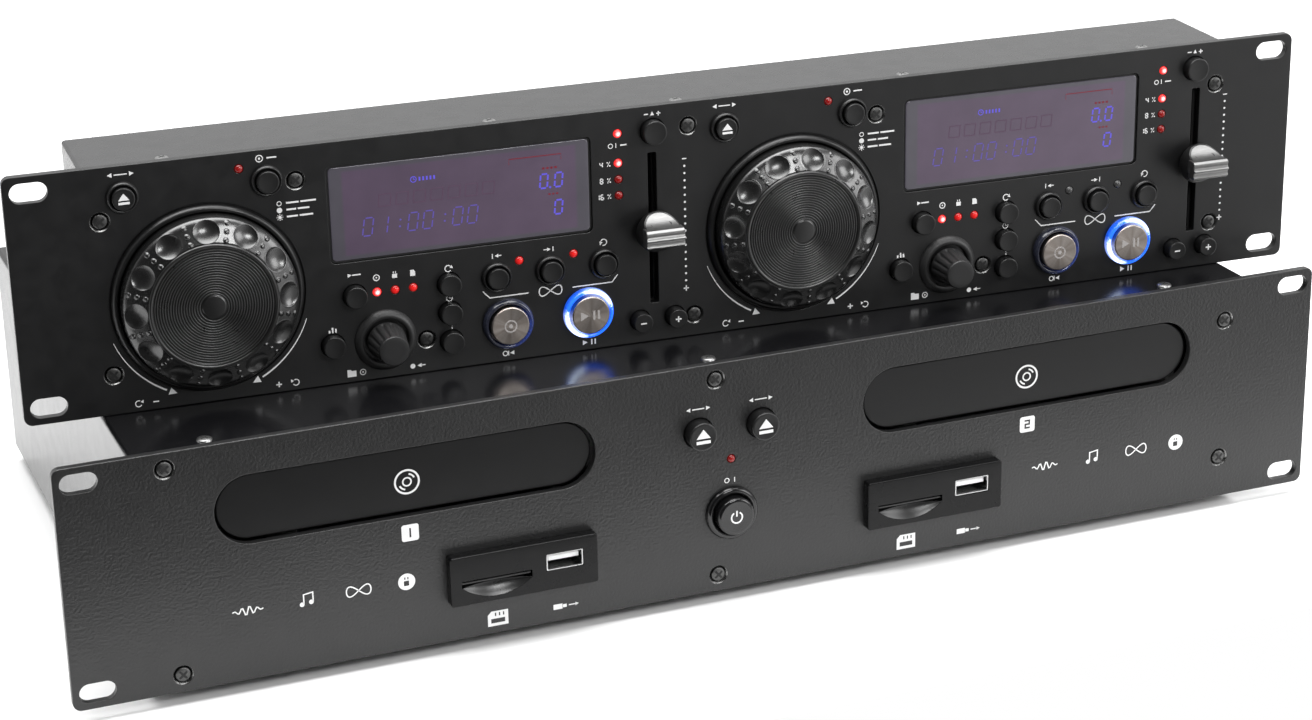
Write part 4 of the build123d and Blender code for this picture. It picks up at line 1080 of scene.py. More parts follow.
# display windows
for i, dx in enumerate(DECKS, 1):
    X, Z = P(WIN[0] + dx), WIN[1]
    v, f = plate(rrect(X, Z, WIN[2] - 1.3, WIN[3] - 1.3, 1.5, 8), (), 0.32, 2.6, 0.25, 3)
    build(f"display_window_{i}", v, f, M["glass"], CTL, "controller", "lens_plastic", origin=(X, 0, Z), check=False)
    v, f = plate(rrect(X, Z, WIN[2] + 0.3, WIN[3] + 0.3, 2.0, 8), [list(reversed(rrect(X, Z, WIN[2] - 1.3, WIN[3] - 1.3, 1.5, 8)))], 0.75, 2.9, 0.1, 2)
    build(f"display_gasket_{i}", v, f, M["black"], CTL, "controller", "black_plastic", check=False)
    y0, y1 = 0.285, 0.33
    big, small, red, faint = [], [], [], []
    for k, ch in enumerate("01 00 00"):
        if ch != " ":
            big += figure(ch, P(120.6 + dx) + k * 5.35, 52.9, 3.3, 6.4, 0.42, 0.16, y0, y1)
    big += [dot(P(120.6 + dx) + 2.1 * 5.35 + 2.2, 54.9, 0.35, y0, y1), dot(P(120.6 + dx) + 2.1 * 5.35 + 2.5, 57.3, 0.35, y0, y1),
            dot(P(120.6 + dx) + 5.1 * 5.35 + 2.2, 54.9, 0.35, y0, y1), dot(P(120.6 + dx) + 5.1 * 5.35 + 2.5, 57.3, 0.35, y0, y1)]
    small += figure("0", P(184.9 + dx), 62.4, 2.7, 5.1, 0.62, 0.10, y0, y1) + figure("0", P(190.3 + dx), 62.4, 2.7, 5.1, 0.62, 0.10, y0, y1)
    small += [dot(P(188.7 + dx), 62.5, 0.42, y0, y1)]
    small += figure("0", P(190.0 + dx), 52.4, 2.7, 5.1, 0.62, 0.10, y0, y1)
    # clock symbol and time bar where the running state is shown
    cx = P(139.6 + dx)
    small += [ringband(cx, 71.2, 1.0, 0.3, y0, y1, 20), band([(cx, 71.2), (cx, 71.9)], 0.25, y0, y1), band([(cx, 71.2), (cx + 0.6, 71.2)], 0.25, y0, y1)]
    small += [band([(cx + 2.2 + 1.3 * k, 70.5), (cx + 2.2 + 1.3 * k, 71.9)], 0.62, y0, y1) for k in range(5)]
    red += [band([(P(174.0 + dx), 72.3), (P(174.0 + dx), 74.3), (P(193.0 + dx), 74.3), (P(193.0 + dx), 72.3)], 0.22, y0, y1)]
    red += [band([(P(186.0 + dx) + 1.5 * k, 69.6), (P(186.9 + dx) + 1.5 * k, 69.6)], 0.7, y0, y1) for k in range(4)]
    red += [band([(P(188.0 + dx) + 1.4 * k, 60.0), (P(188.8 + dx) + 1.4 * k, 60.0)], 0.6, y0, y1) for k in range(3)]
    for k in range(7):
        gx = P(164.0 + dx) - k * 6.2
        faint.append(band([(gx, 62.9), (gx + 4.2, 62.9), (gx + 4.6, 67.2), (gx + 0.4, 67.2), (gx, 62.9)], 0.32, y0 + 0.01, y1))
    build(f"display_figures_{i}", *join(*big), M["seg_dim"], CTL, "controller", "lens_plastic", check=False, weighted=False)
    build(f"display_values_{i}", *join(*small), M["seg_blue"], CTL, "controller", "lens_plastic", check=False, weighted=False)
    build(f"display_bar_{i}", *join(*red), M["seg_red"], CTL, "controller", "lens_plastic", check=False, weighted=False)
    build(f"display_ghosts_{i}", *join(*faint), M["ghost"], CTL, "controller", "lens_plastic", check=False, weighted=False)


# white print of the controller
def eject_mark(x, z, s=1.0, y0=-0.03, y1=0.02):
    return [poly([(x - 1.9 * s, z - 0.35 * s), (x + 1.9 * s, z - 0.35 * s), (x, z + 2.1 * s)], y0, y1), poly([(x - 1.9 * s, z - 1.75 * s), (x + 1.9 * s, z - 1.75 * s), (x + 1.9 * s, z - 0.95 * s), (x - 1.9 * s, z - 0.95 * s)], y0, y1)]


def number(text, x, z, h=2.0, t=0.36, gap=0.75, y0=-0.03, y1=0.02):
    """Figures in a row, centred on x."""
    w = h * 0.52
    total = len(text) * w + (len(text) - 1) * gap
    out = []
    for k, ch in enumerate(text):
        out += figure(ch, x - total / 2 + k * (w + gap), z, w, h, t, 0.0, y0, y1)
    return out


def minus(x, z, w=1.8, t=0.45, y0=-0.03, y1=0.02):
    return [band([(x - w / 2, z), (x + w / 2, z)], t, y0, y1)]


def plus(x, z, w=1.8, t=0.45, y0=-0.03, y1=0.02):
    return minus(x, z, w, t, y0, y1) + [band([(x, z - w / 2), (x, z + w / 2)], t, y0, y1)]


def tri(x, z, s, deg):
    a = math.radians(deg)
    return poly([(x + s * math.cos(a + k), z + s * math.sin(a + k)) for k in (0, 2.2, -2.2)])


ink = []
for di, dx in enumerate(DECKS):
    o = P(dx)
    ink += [tri(o + 35.9, 85.0, 1.0, 180), *minus(o + 39.4, 85.0, 4.4, 0.4), tri(o + 42.9, 85.0, 1.0, 0)]
    # jog direction arcs and signs
    jx = P(JOGS[di])
    ink.append(band(arc(jx, JOG_Z, 35.6, 200, 242, 26), list(np.linspace(0.22, 0.62, 27))))
    ink.append(band(arc(jx, JOG_Z, 35.6, 340, 298, 26), list(np.linspace(0.22, 0.62, 27))))
    for deg, turn in ((245.5, -24), (294.5, 204)):
        a = math.radians(deg)
        ink.append(tri(jx + 35.6 * math.cos(a), JOG_Z + 35.6 * math.sin(a), 1.7, turn))
    ink += minus(o + 45.0, 2.9, 2.0, 0.45) + plus(o + 88.0, 2.9, 2.0, 0.45)
    ink += [band(arc(o + 39.0, 2.9, 1.1, 60, 330, 14), 0.34), tri(o + 40.4, 3.6, 0.7, 60)]
    ink += [band(arc(o + 94.0, 2.9, 1.1, 120, -150, 14), 0.34), tri(o + 92.6, 3.6, 0.7, 120)]
    # jog mode: wheel sign
    ink += [ringband(o + 86.4, 85.0, 1.15, 0.34), dot(o + 86.4, 85.0, 0.4), *minus(o + 90.6, 85.0, 3.4, 0.5)]
    # jog mode states
    ink += [ringband(o + 92.2, 68.3, 0.75, 0.28), dot(o + 92.2, 65.9, 0.95)]
    ink += [dot(o + 92.2, 63.4, 0.6)] + [band([(o + 92.2 + 0.75 * math.cos(a), 63.4 + 0.75 * math.sin(a)), (o + 92.2 + 1.2 * math.cos(a), 63.4 + 1.2 * math.sin(a))], 0.24) for a in np.arange(8) * PI / 4]
    for z, w in ((68.3, 10.4), (65.9, 8.0), (63.4, 9.2)):
        ink.append(band([(o + 94.6, z), (o + 94.6 + w * 0.42, z)], 0.62))
        ink.append(band([(o + 95.2 + w * 0.42, z), (o + 94.6 + w, z)], 0.62))
    # source row: disc, plug and card signs
    ink += [tri(o + 115.0, 39.4, 0.9, 0), *minus(o + 117.6, 39.4, 3.0, 0.5)]
    ink += [ringband(o + 124.6, 37.4, 1.05, 0.36), dot(o + 124.6, 37.4, 0.3)]
    ink += [poly([(o + 130.2, 36.5), (o + 132.0, 36.5), (o + 132.0, 38.0), (o + 130.2, 38.0)]), band([(o + 130.7, 38.2), (o + 130.7, 38.9)], 0.3), band([(o + 131.5, 38.2), (o + 131.5, 38.9)], 0.3)]
    ink += [poly([(o + 136.7, 36.4), (o + 138.5, 36.4), (o + 138.5, 37.9), (o + 137.9, 38.6), (o + 136.7, 38.6)])]
    # repeat, time, single, tempo
    ink += [band(arc(o + 150.4, 37.4, 1.15, 20, 320, 20), 0.36), tri(o + 151.6, 37.9, 0.75, 80)]
    ink += [ringband(o + 150.4, 26.4, 1.05, 0.3), band([(o + 150.4, 26.4), (o + 150.4, 27.1)], 0.26), band([(o + 150.4, 26.4), (o + 151.0, 26.4)], 0.26)]
    ink += number("1", o + 150.4, 14.7, 1.9, 0.4)
    ink += [poly([(o + 106.6 + 1.15 * k, 19.2), (o + 107.2 + 1.15 * k, 19.2), (o + 107.2 + 1.15 * k, 19.2 + hgt), (o + 106.6 + 1.15 * k, 19.2 + hgt)]) for k, hgt in ((0, 1.0), (1, 1.9), (2, 1.4))]
    # loop row
    ink += [band([(o + 166.6, 38.9), (o + 166.6, 40.7)], 0.34), tri(o + 168.3, 39.8, 0.85, 180), *minus(o + 169.3, 39.8, 1.2, 0.34)]
    ink += [band([(o + 188.9, 38.9), (o + 188.9, 40.7)], 0.34), tri(o + 187.2, 39.8, 0.85, 0), *minus(o + 186.0, 39.8, 1.2, 0.34)]
    ink += [band(arc(o + 207.7, 39.8, 1.15, 200, -110, 18), 0.36), tri(o + 206.6, 39.6, 0.8, 250)]
    ink.append(band([(o + 162.7, 27.1), (o + 165.1, 24.5), (o + 179.3, 24.5)], 0.42))
    ink.append(band([(o + 195.7, 24.5), (o + 210.5, 24.5), (o + 212.7, 27.1)], 0.42))
    ink.append(band([(o + 187.5 + 4.2 * math.sin(t) * 1.0, 24.3 + 1.7 * math.sin(2 * t)) for t in np.linspace(0, 2 * PI, 60)[:-1]], 0.42, closed=True))
    # pitch block
    ink += minus(o + 224.6, 85.0, 1.6, 0.4) + [tri(o + 226.9, 85.0, 0.9, 90)] + plus(o + 229.2, 85.0, 1.6, 0.4)
    ink += [ringband(o + 211.2, 74.9, 0.8, 0.28), band([(o + 213.2, 74.1), (o + 213.2, 75.8)], 0.3), *minus(o + 216.0, 74.9, 2.4, 0.5)]
    for z, n in ((68.4, "4"), (62.4, "8"), (56.5, "16")):
        ink += number(n, o + (207.6 if n != "16" else 206.9), z - 0.9, 1.8, 0.36, 0.6)
        px, pz = o + 210.3, z
        ink += [dot(px - 0.45, pz + 0.6, 0.26), dot(px + 0.5, pz - 0.6, 0.26), band([(px - 0.5, pz - 0.9), (px + 0.55, pz + 0.9)], 0.22)]
    sx = o + (238.6 if di == 0 else 240.4)
    ink += minus(sx, 67.2, 1.7, 0.4) + plus(sx, 18.5, 2.0, 0.45)
    ink += [dot(sx, 64.5 - 2.69 * k, 0.42, n=14) for k in range(17)]
    # cue and play signs
    ink += [ringband(o + 170.0, 2.9, 0.85, 0.34), tri(o + 172.7, 2.9, 1.0, 180), band([(o + 171.2, 2.0), (o + 171.2, 3.8)], 0.34)]
    ink += [tri(o + 199.6, 2.9, 1.15, 0), band([(o + 202.3, 1.9), (o + 202.3, 3.9)], 0.5), band([(o + 203.6, 1.9), (o + 203.6, 3.9)], 0.5)]
    # knob: turn arrows, folder and push signs
    ink += [poly([(o + 112.4, 2.0), (o + 115.6, 2.0), (o + 115.6, 4.2), (o + 114.0, 4.2), (o + 113.6, 4.7), (o + 112.4, 4.7)]), ringband(o + 118.0, 3.3, 1.0, 0.3), dot(o + 118.0, 3.3, 0.3)]
    ink += [dot(o + 136.0, 2.9, 0.9), tri(o + 138.6, 2.9, 0.95, 180), *minus(o + 139.9, 2.9, 1.4, 0.34)]
build("controller_print", *join(*ink), M["print"], CTL, "controller", "controller_panel_paint", check=False, weighted=False)

# marks on caps
for i, dx in enumerate(DECKS, 1):
    x, z = P(39.4 + dx), 77.1
    build(f"open_mark_{i}", *moved(join(*eject_mark(0, 0, 1.0, -3.16, -2.9)), x, 0, z), M["print"], CTL, f"open_button_{i}", "controller_panel_paint", check=False, weighted=False, origin=(x, 0, z))
    x, z = P(220.8 + dx), 8.6
    build(f"bend_minus_mark_{i}", *moved(join(*minus(0, 0, 2.2, 0.5, -4.30, -4.0)), x, 0, z), M["print"], CTL, f"bend_minus_button_{i}", "controller_panel_paint", check=False, weighted=False, origin=(x, 0, z))
    x, z = P(234.0 + dx), 8.6
    build(f"bend_plus_mark_{i}", *moved(join(*plus(0, 0, 2.2, 0.5, -4.30, -4.0)), x, 0, z), M["print"], CTL, f"bend_plus_button_{i}", "controller_panel_paint", check=False, weighted=False, origin=(x, 0, z))

# black strips behind the fader slots: painted shade for the dark behind these openings of the controller
wells = []
for dx in DECKS:
    X, Z = P(FADER[0] + dx * 1.007), FADER[1]
    wells.append(plate(rrect(X, Z, 11.0, 60.0, 1.0, 3), [list(reversed(rrect(X, Z, 2.0, 56.0, 0.4, 3)))], 4.2, 5.4, 0.1, 1))
build("fader_dust_strips", *join(*wells), M["black"], CTL, "controller", "black_plastic", check=False)

# ================================================================ DRIVE
drv_holes = []
for x, z in RACK_SLOTS:
    drv_holes.append(list(reversed(stadium(x, z, 12.7, 7.0, 12))))
for sx in (-1, 1):
    drv_holes.append(list(reversed(stadium(sx * 120.2, 62.9, 136.5, 25.3, 28))))
for x in EJECTS:
    drv_holes.append(hole(P(x), 62.9, 5.7))
drv_holes.append(hole(P(241.0), 50.9, 1.62))
drv_holes.append(hole(P(POWER[0]), POWER[1], 9.0))
for x in MODULES:
    drv_holes.append(list(reversed(rrect(P(x), 24.05, 52.6, 16.5, 0.4, 2))))
for x, z in DRV_SCREWS:
    drv_holes.append(hole(P(x), z, 3.55))
v, f = plate(rrect(0, 44.05, RACK_W, RACK_H, 3.0, 10), drv_holes, 0.0, 3.0, 0.38, 3, hole_bevel=0.30)
ob = build("drive_front_plate", v, f, M["drv_panel"], ROW, "drive", "drive_panel_paint", check=False)
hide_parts("drive_front_panel")
cones, heads, crosses = [], [], []
for x, z in DRV_SCREWS:
    cones.append(moved(lathe([(3.60, 0.04), (3.50, 0.08), (2.70, 1.0), (2.70, 2.9), (3.60, 2.9), (3.60, 0.04)], 40), P(x), 0, z))
    heads.append(moved(screw_mesh(2.62), P(x), 0, z))
    crosses.append(moved(cross(), P(x), 0, z))
build("drive_countersinks", *join(*cones), M["cone"], ROW, "drive", "drive_panel_paint", check=False)
ob = build("drive_panel_screws", *join(*heads), M["screw"], ROW, "drive", "screw_steel", check=False)
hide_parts("drive_screws")
# painted shade: black crosses stand for the shaded cross recesses of the screws
build("drive_screw_recess_shade", *join(*crosses), M["black"], ROW, "drive", "screw_steel", check=False)
pairs = [top_screw(P(x), y, 86.5, 2.8, 1.0) for x in COVER_SCREW_X for y in COVER_SCREW_Y]
build("drive_cover_screws", *join(*[a for a, _ in pairs]), M["top_screw"], ROW, "drive", "screw_steel", check=False)
# painted shade: black crosses stand for the shaded cross recesses of the cover screws
build("drive_cover_screw_recess_shade", *join(*[b for _, b in pairs]), M["black"], ROW, "drive", "screw_steel", check=False)


# trays: fascia and plate
def tray_plate(xc):
    """The disc tray as a solid with its two disc recesses, hub slot and rails."""
    parts = []
    # plate with the outer recess cut in steps: three layers
    def lay(holes, z0, z1, outer):
        v, f = plate(outer, holes, 0, z1 - z0, 0.2, 2)
        w = np.array(v)
        # panel-plane layer (x, y depth, z) laid flat: x stays, plane z becomes depth, depth becomes height
        return np.stack([w[:, 0], w[:, 2], z1 - w[:, 1]], 1), [tuple(reversed(t)) for t in f]
    outer = rrect(xc, 85.5, 128.0, 159.0, 1.5, 4)
    slot_hole = list(reversed(stadium(xc, 92.0, 36.0, 76.0, 14)))
    parts.append(lay([list(reversed(circle(xc, 72.0, 60.75, 120)))], 58.2, 60.0, outer))
    parts.append(lay([list(reversed(circle(xc, 72.0, 41.0, 96)))], 57.2, 58.2, rrect(xc, 85.5, 127.6, 158.6, 1.5, 4)))
    parts.append(lay([slot_hole], 56.0, 57.2, rrect(xc, 85.5, 127.6, 158.6, 1.5, 4)))
    for a, b in ((-61, -57), (57, 61), (-57.0, -54.0)):
        y0, y1 = (6.0, 165.0) if a != -57.0 or b != -54.0 else (12.0, 160.0)
        v, f = plate(rrect(xc + (a + b) / 2, 54.0, b - a, 4.0, 0.3, 2), (), y0, y1, 0.2, 1)
        parts.append((v, f))
    v, f = plate(rrect(xc, 62.75, 100.0, 18.5, 0.5, 3), (), 6.0, 8.0, 0.2, 1)
    parts.append((v, f))
    return join(*parts)


for i, s in ((1, -1), (2, 1)):
    xc = s * 120.2
    b = f"disc_tray_{i}"
    v, f = plate(stadium(xc, 62.9, 134.7, 23.5, 40), (), 2.5, 6.0, 0.7, 4, back_bevel=0.2)
    ob = build(f"tray_fascia_{i}", v, f, M["fascia"], ROW, b, "tray_plastic", check=False)
    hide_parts(b)
    build(f"tray_plate_{i}", *tray_plate(xc), M["tray"], ROW, b, "tray_plastic", check=False, weighted=False)
    # disc sign in the middle of the fascia: two plain rings
    marks = [ringband(xc - 0.1, 62.1, 4.3, 0.7, 2.46, 2.52, 60), ringband(xc - 0.1, 62.1, 1.5, 0.55, 2.46, 2.52, 36),
             band(arc(xc - 0.1, 62.1, 2.9, 25, 75, 12), 0.6, 2.46, 2.52), band(arc(xc - 0.1, 62.1, 2.9, 205, 255, 12), 0.6, 2.46, 2.52)]
    build(f"tray_sign_{i}", *join(*marks), M["print"], ROW, b, "drive_panel_paint", check=False, weighted=False)

# eject buttons with their signs, power button
for i, x in enumerate(EJECTS, 1):
    X = P(x)
    ob = cap_piece(f"drive_open_cap_{i}", f"drive_open_button_{i}", X, 62.9, 5.3, 4.8, ROW, step=3.4, rear=8.0, dish=0.25, edge=0.75)
    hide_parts(f"drive_open_button_{i}")
    build(f"drive_open_mark_{i}", *moved(join(*eject_mark(0, 0, 1.42, -4.76, -4.5)), X, 0, 62.9), M["print"], ROW, f"drive_open_button_{i}", "drive_panel_paint", check=False, weighted=False, origin=(X, 0, 62.9))
X, Z = P(POWER[0]), POWER[1]
v, f = lathe(fil([(0, -5.05), (4.0, -5.1), (6.5, -5.25, 0.7), (7.2, -4.5, 0.7), (7.2, 6.4), (8.6, 6.4), (8.6, 7.6), (2.4, 7.6), (2.4, 8.8), (0, 8.8)]), 96)
ob = build("power_cap", *moved((v, f), X, 0, Z), M["gloss"], ROW, "power_button", "gloss_black_plastic", check=False, origin=(X, 0, Z))
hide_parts("power_button")
marks = [band(arc(0, -0.1, 2.1, 122, 418, 40), 0.55, -5.16, -4.9), band([(0, 0.3), (0, 2.5)], 0.55, -5.16, -4.9)]
build("power_mark", *moved(join(*marks), X, 0, Z), M["print"], ROW, "power_button", "drive_panel_paint", check=False, weighted=False, origin=(X, 0, Z))
v, f = lathe(fil([(7.6, 6.0), (7.6, -1.5, 0.2), (8.1, -2.0, 0.5), (9.3, -2.0, 0.8), (10.1, -0.9, 0.7), (10.1, 0.02), (8.8, 0.02), (8.8, 6.0)]), 96)
ob = build("power_bezel", *moved((v, f), X, 0, Z), M["gloss"], ROW, "drive", "gloss_black_plastic", check=False, origin=(X, 0, Z))
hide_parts("drive_front_fittings")
X, Z = P(241.0), 50.9
v, f = lathe([(0, -0.9), (0.45, -0.86), (0.85, -0.72), (1.15, -0.5), (1.38, -0.2), (1.5, 0.1), (1.5, 6.0), (0, 6.0)], 32)
build("drive_indicator", *moved((v, f), X, 0, Z), M["led_dim"], ROW, "drive", "lens_plastic", check=False, sharp=60, origin=(X, 0, Z))


def module(xc):
    """Card and USB module: frame with a scooped finger recess under the card slot."""
    front = -4.5
    left, low = xc - 27.4, 24.05 - 9.35
    sx, sz = left + 17.1, low + 8.0
    ux, uz = left + 42.3, low + 10.8
    # finger recess: lower chord of a circle, its top edge along the slot
    r = 19.4
    cz = sz + r - 6.0
    zt = sz - 1.25
    half = math.sqrt(r * r - (zt - cz) ** 2)
    a0 = math.atan2(zt - cz, -half)
    a1 = math.atan2(zt - cz, half)
    lens = [(sx + r * math.cos(a), cz + r * math.sin(a)) for a in np.linspace(a0, a1, 29)]
    slot_loop = [(sx + half, zt), (sx + 13.0, sz + 1.25), (sx - 13.0, sz + 1.25), (sx - half, zt)]
    opening = lens[:-1] + [(sx + half, zt), (sx + 13.0, zt + 0.02), (sx + 13.0, sz + 1.25), (sx - 13.0, sz + 1.25), (sx - 13.0, zt + 0.02)]
    if half < 13.0:
        opening = lens + [(sx + 13.0, zt), (sx + 13.0, sz + 1.25), (sx - 13.0, sz + 1.25), (sx - 13.0, zt)]
    v, f = plate(rrect(xc, 24.05, 54.8, 18.7, 1.0, 5), [opening, rrect(ux, uz, 14.0, 6.6, 0.4, 3)], front, 0.0, 0.45, 3, hole_bevel=0.22)
    parts = [(v, f)]
    # curved floor of the recess
    pts, faces, nx, nz = [], [], 28, 8
    for i in range(nx + 1):
        x = sx - half + 2 * half * i / nx
        zb = cz - math.sqrt(max(r * r - (x - sx) ** 2, 0))
        for j in range(nz + 1):
            t = j / nz
            z = zb + (zt - zb) * t
            y = front + 0.12 + (3.2 * (zt - zb) / 6.0) * math.sin(t * PI / 2) ** 1.2
            pts.append((x, y, z))
    for i in range(nx):
        for j in range(nz):
            a = i * (nz + 1) + j
            faces.append((a, a + nz + 1, a + nz + 2, a + 1))
    back = plate(rrect(xc, 24.05, 52.0, 15.9, 0.5, 2), [rrect(ux, uz, 13.8, 6.4, 0.4, 3), rrect(sx, sz, 26.0, 2.5, 0.1, 2)], 0.0, 14.0, 0.1, 1)
    return join(*parts), (np.array(pts), faces), back, (sx, sz, half), (ux, uz)


for i, x in enumerate(MODULES, 1):
    xc = P(x)
    shell, floor_, back, (sx, sz, half), (ux, uz) = module(xc)
    build(f"module_frame_{i}", *shell, M["module"], ROW, "drive", "black_plastic", check=False)
    build(f"module_recess_{i}", *floor_, M["recess"], ROW, "drive", "gloss_black_plastic", check=False, weighted=False)
    build(f"module_back_{i}", *back, M["black"], ROW, "drive", "black_plastic", check=False)
    # thin shutter ridge in the card slot
    v, f = plate(rrect(sx, sz + 0.15, 25.6, 0.7, 0.2, 2), (), -3.6, 8.0, 0.15, 2)
    build(f"card_guide_{i}", v, f, M["plastic"], ROW, "drive", "black_plastic", check=False)
    v, f = plate(rrect(ux, uz, 13.7, 6.3, 0.45, 4), [list(reversed(rrect(ux, uz, 12.7, 5.3, 0.3, 4)))], -4.42, 10.0, 0.12, 2)
    build(f"usb_shell_{i}", v, f, M["shell"], ROW, "drive", "socket_metal", check=False)
    v, f = plate(rrect(ux, uz, 12.6, 5.2, 0.3, 3), (), 6.0, 7.0, 0.1, 1)
    build(f"usb_floor_{i}", v, f, M["black"], ROW, "drive", "black_plastic", check=False)
    v, f = plate(rrect(ux, uz + 0.9, 11.4, 1.9, 0.2, 3), (), -2.9, 6.0, 0.15, 2)
    build(f"usb_tongue_{i}", v, f, M["white_tongue"], ROW, "drive", "socket_metal", check=False)

# print of the drive
ink = []
for x in EJECTS:
    ink += [tri(P(x) - 3.6, 72.0, 1.0, 180), *minus(P(x), 72.0, 4.6, 0.42), tri(P(x) + 3.6, 72.0, 1.0, 0)]
ink += [ringband(P(240.8) - 1.6, 42.7, 0.85, 0.32), band([(P(240.8) + 1.4, 41.8), (P(240.8) + 1.4, 43.6)], 0.36)]


def tile(x, z, n):
    """A white rounded square with its number left out of it."""
    h = 3.1
    if n == "1":
        holes = [rrect(x, z, 0.62, 3.5, 0.05, 2)]
    else:
        w, t, s = 1.15, 0.34, 1.75
        holes = [[(x - w, z + s), (x + w, z + s), (x + w, z - t), (x - w + 2 * t, z - t), (x - w + 2 * t, z - s + 2 * t), (x + w, z - s + 2 * t), (x + w, z - s), (x - w, z - s), (x - w, z + t), (x + w - 2 * t, z + t), (x + w - 2 * t, z + s - 2 * t), (x - w, z + s - 2 * t)]]
    return plate(rrect(x, z, 2 * h, 2 * h, 0.9, 5), holes, -0.03, 0.02, 0.004, 1)


ink += [tile(P(120.5), 44.1, "1"), tile(P(360.8), 44.1, "2")]
for base in (0.0, 306.9):
    x0 = P(61.8 + base)
    # shock-guard wave, note, loop and plug signs
    ink.append(band([(x0 - 5.4 + k * 0.45, 25.9 + 1.7 * math.sin(k * 1.05) * math.exp(-((k - 12) / 8.0) ** 2)) for k in range(25)], 0.42))
    x1 = P(82.5 + base - (0.5 if base else 0))
    ink += [dot(x1 - 1.7, 24.4, 0.85), dot(x1 + 1.6, 24.9, 0.85), band([(x1 - 1.05, 24.5), (x1 - 1.05, 28.0), (x1 + 2.25, 28.5), (x1 + 2.25, 25.0)], 0.45)]
    x2 = P(101.0 + base)
    ink.append(band([(x2 + 4.4 * math.sin(t), 25.9 + 1.9 * math.sin(2 * t)) for t in np.linspace(0, 2 * PI, 60)[:-1]], 0.45, closed=True))
    x3 = P(118.3 + base)
    ink.append(plate(circle(x3, 25.9, 3.1, 40), [rrect(x3 - 0.1, 25.3, 1.9, 1.9, 0.2, 2), rrect(x3 - 0.6, 27.2, 0.45, 0.9, 0.05, 2), rrect(x3 + 0.5, 27.2, 0.45, 0.9, 0.05, 2)], -0.03, 0.02, 0.004, 1))
for xa, xb in ((151.0, 176.0), (311.0, 336.3)):
    xx = P(xa)
    card = [(xx - 3.8, 2.8), (xx + 3.8, 2.8), (xx + 3.8, 8.5), (xx - 2.4, 8.5), (xx - 3.8, 7.1)]
    ink.append(plate(card, [[(xx - 2.6, 3.9), (xx + 2.6, 3.9), (xx + 2.6, 5.6), (xx - 2.6, 5.6)], rrect(xx - 0.9, 7.2, 0.5, 1.3, 0.05, 2), rrect(xx + 0.6, 7.2, 0.5, 1.3, 0.05, 2), rrect(xx + 2.1, 7.2, 0.5, 1.3, 0.05, 2)], -0.03, 0.02, 0.004, 1))
    xx = P(xb)
    ink += [poly([(xx - 4.2, 4.6), (xx - 0.8, 4.6), (xx - 0.8, 6.6), (xx - 4.2, 6.6)]), poly([(xx - 0.6, 5.0), (xx + 0.8, 5.0), (xx + 0.8, 6.2), (xx - 0.6, 6.2)]), band([(xx + 1.6, 5.6), (xx + 4.6, 5.6)], 0.4), tri(xx + 4.6, 5.6, 0.8, 0)]
build("drive_print", *join(*ink), M["print"], ROW, "drive", "drive_panel_paint", check=False, weighted=False)

# ================================================================ CAD nodes that stay
def give(node, mat):
    ob = NODES[node]
    ob.data.materials.clear()
    ob.data.materials.append(mat)
    for p in ob.data.polygons:
        p.material_index = 0


give("drive_top_cover", M["case"])
give("drive_chassis", M["steel"])
give("rubber_feet", M["rubber"])
give("loader_frames", M["loader"])
give("drive_boards", M["board"])
give("rear_sockets", M["sockets"])
# the mains inlet's moulding and the sockets' flanges are black plastic, pins and shells metal
INLET = (170.0, 46.0)
SOCKETS = [(-168, 56, 4.3), (-168, 36, 4.3), (-140, 56, 4.3), (-140, 36, 4.3), (-112, 56, 4.3), (-112, 36, 4.3), (-84, 56, 3.3), (-84, 36, 3.3), (-52, 46, 5.5), (-24, 46, 5.5)]
REAR_Y = 245.0
sock = NODES["rear_sockets"]
sock.data.materials.append(M["plastic"])
for p in sock.data.polygons:
    c = sock.matrix_world @ p.center
    x, y, z = c.x / MM, c.y / MM + 124.35, c.z / MM - 5.0
    dx, dz = x - INLET[0], z - INLET[1]
    if abs(dx) < 15.2 and abs(dz) < 11.7:
        pin = any(abs(dx - a) < 1.05 and abs(dz - b) < 2.05 for a, b in ((-7, -2), (0, 2), (7, -2)))
        p.material_index = 0 if pin else 1
    else:
        r, kind = min((math.hypot(x - a, z - b), k) for a, b, k in SOCKETS)
        edge = 4.2 if kind == 4.3 else 3.2
        p.material_index = 1 if r > edge else 0
give("controller_case", M["ctl_case"])
give("controller_board", M["board"])
for i in (1, 2):
    give(f"disc_hub_{i}", M["loader"])

# ================================================================ stage, lights, camera
bpy.context.view_layer.update()
floor_mat = Mat("pale floor")
floor_mat.color(floor_mat.ramp(floor_mat.noise(0.004, 3), [(0.3, 0.80), (0.7, 0.84)]))
floor_mat.rough(floor_mat.span(floor_mat.noise(0.02, 3), 0.75, 0.85))
me = bpy.data.meshes.new("floor")
s = 6.0
me.from_pydata([(-s, -0.215, 0), (s, -0.215, 0), (s, s, 0), (-s, s, 0)], [], [(0, 1, 2, 3)])
me.materials.append(floor_mat.m)
floor_ob = bpy.data.objects.new("floor", me)
bpy.context.scene.collection.objects.link(floor_ob)

scene = bpy.context.scene
scene.view_settings.view_transform = "Standard"
scene.view_settings.look = "None"
scene.view_settings.exposure = 0.0
scene.view_settings.gamma = 1.0

world = bpy.data.worlds.new("studio")
scene.world = world
world.use_nodes = True
wt = world.node_tree
wt.nodes.clear()
wo = wt.nodes.new("ShaderNodeOutputWorld")
bg = wt.nodes.new("ShaderNodeBackground")
wt.links.new(bg.outputs[0], wo.inputs[0])
tc = wt.nodes.new("ShaderNodeTexCoord")
sep = wt.nodes.new("ShaderNodeSeparateXYZ")
wt.links.new(tc.outputs["Generated"], sep.inputs[0])
# bright studio sweep behind, grey overhead, and in front a room that is dark at the left and paler at the right


def world_node(kind, **props):
    n = wt.nodes.new(kind)
    for k, v in props.items():
        setattr(n, k, v)
    return n


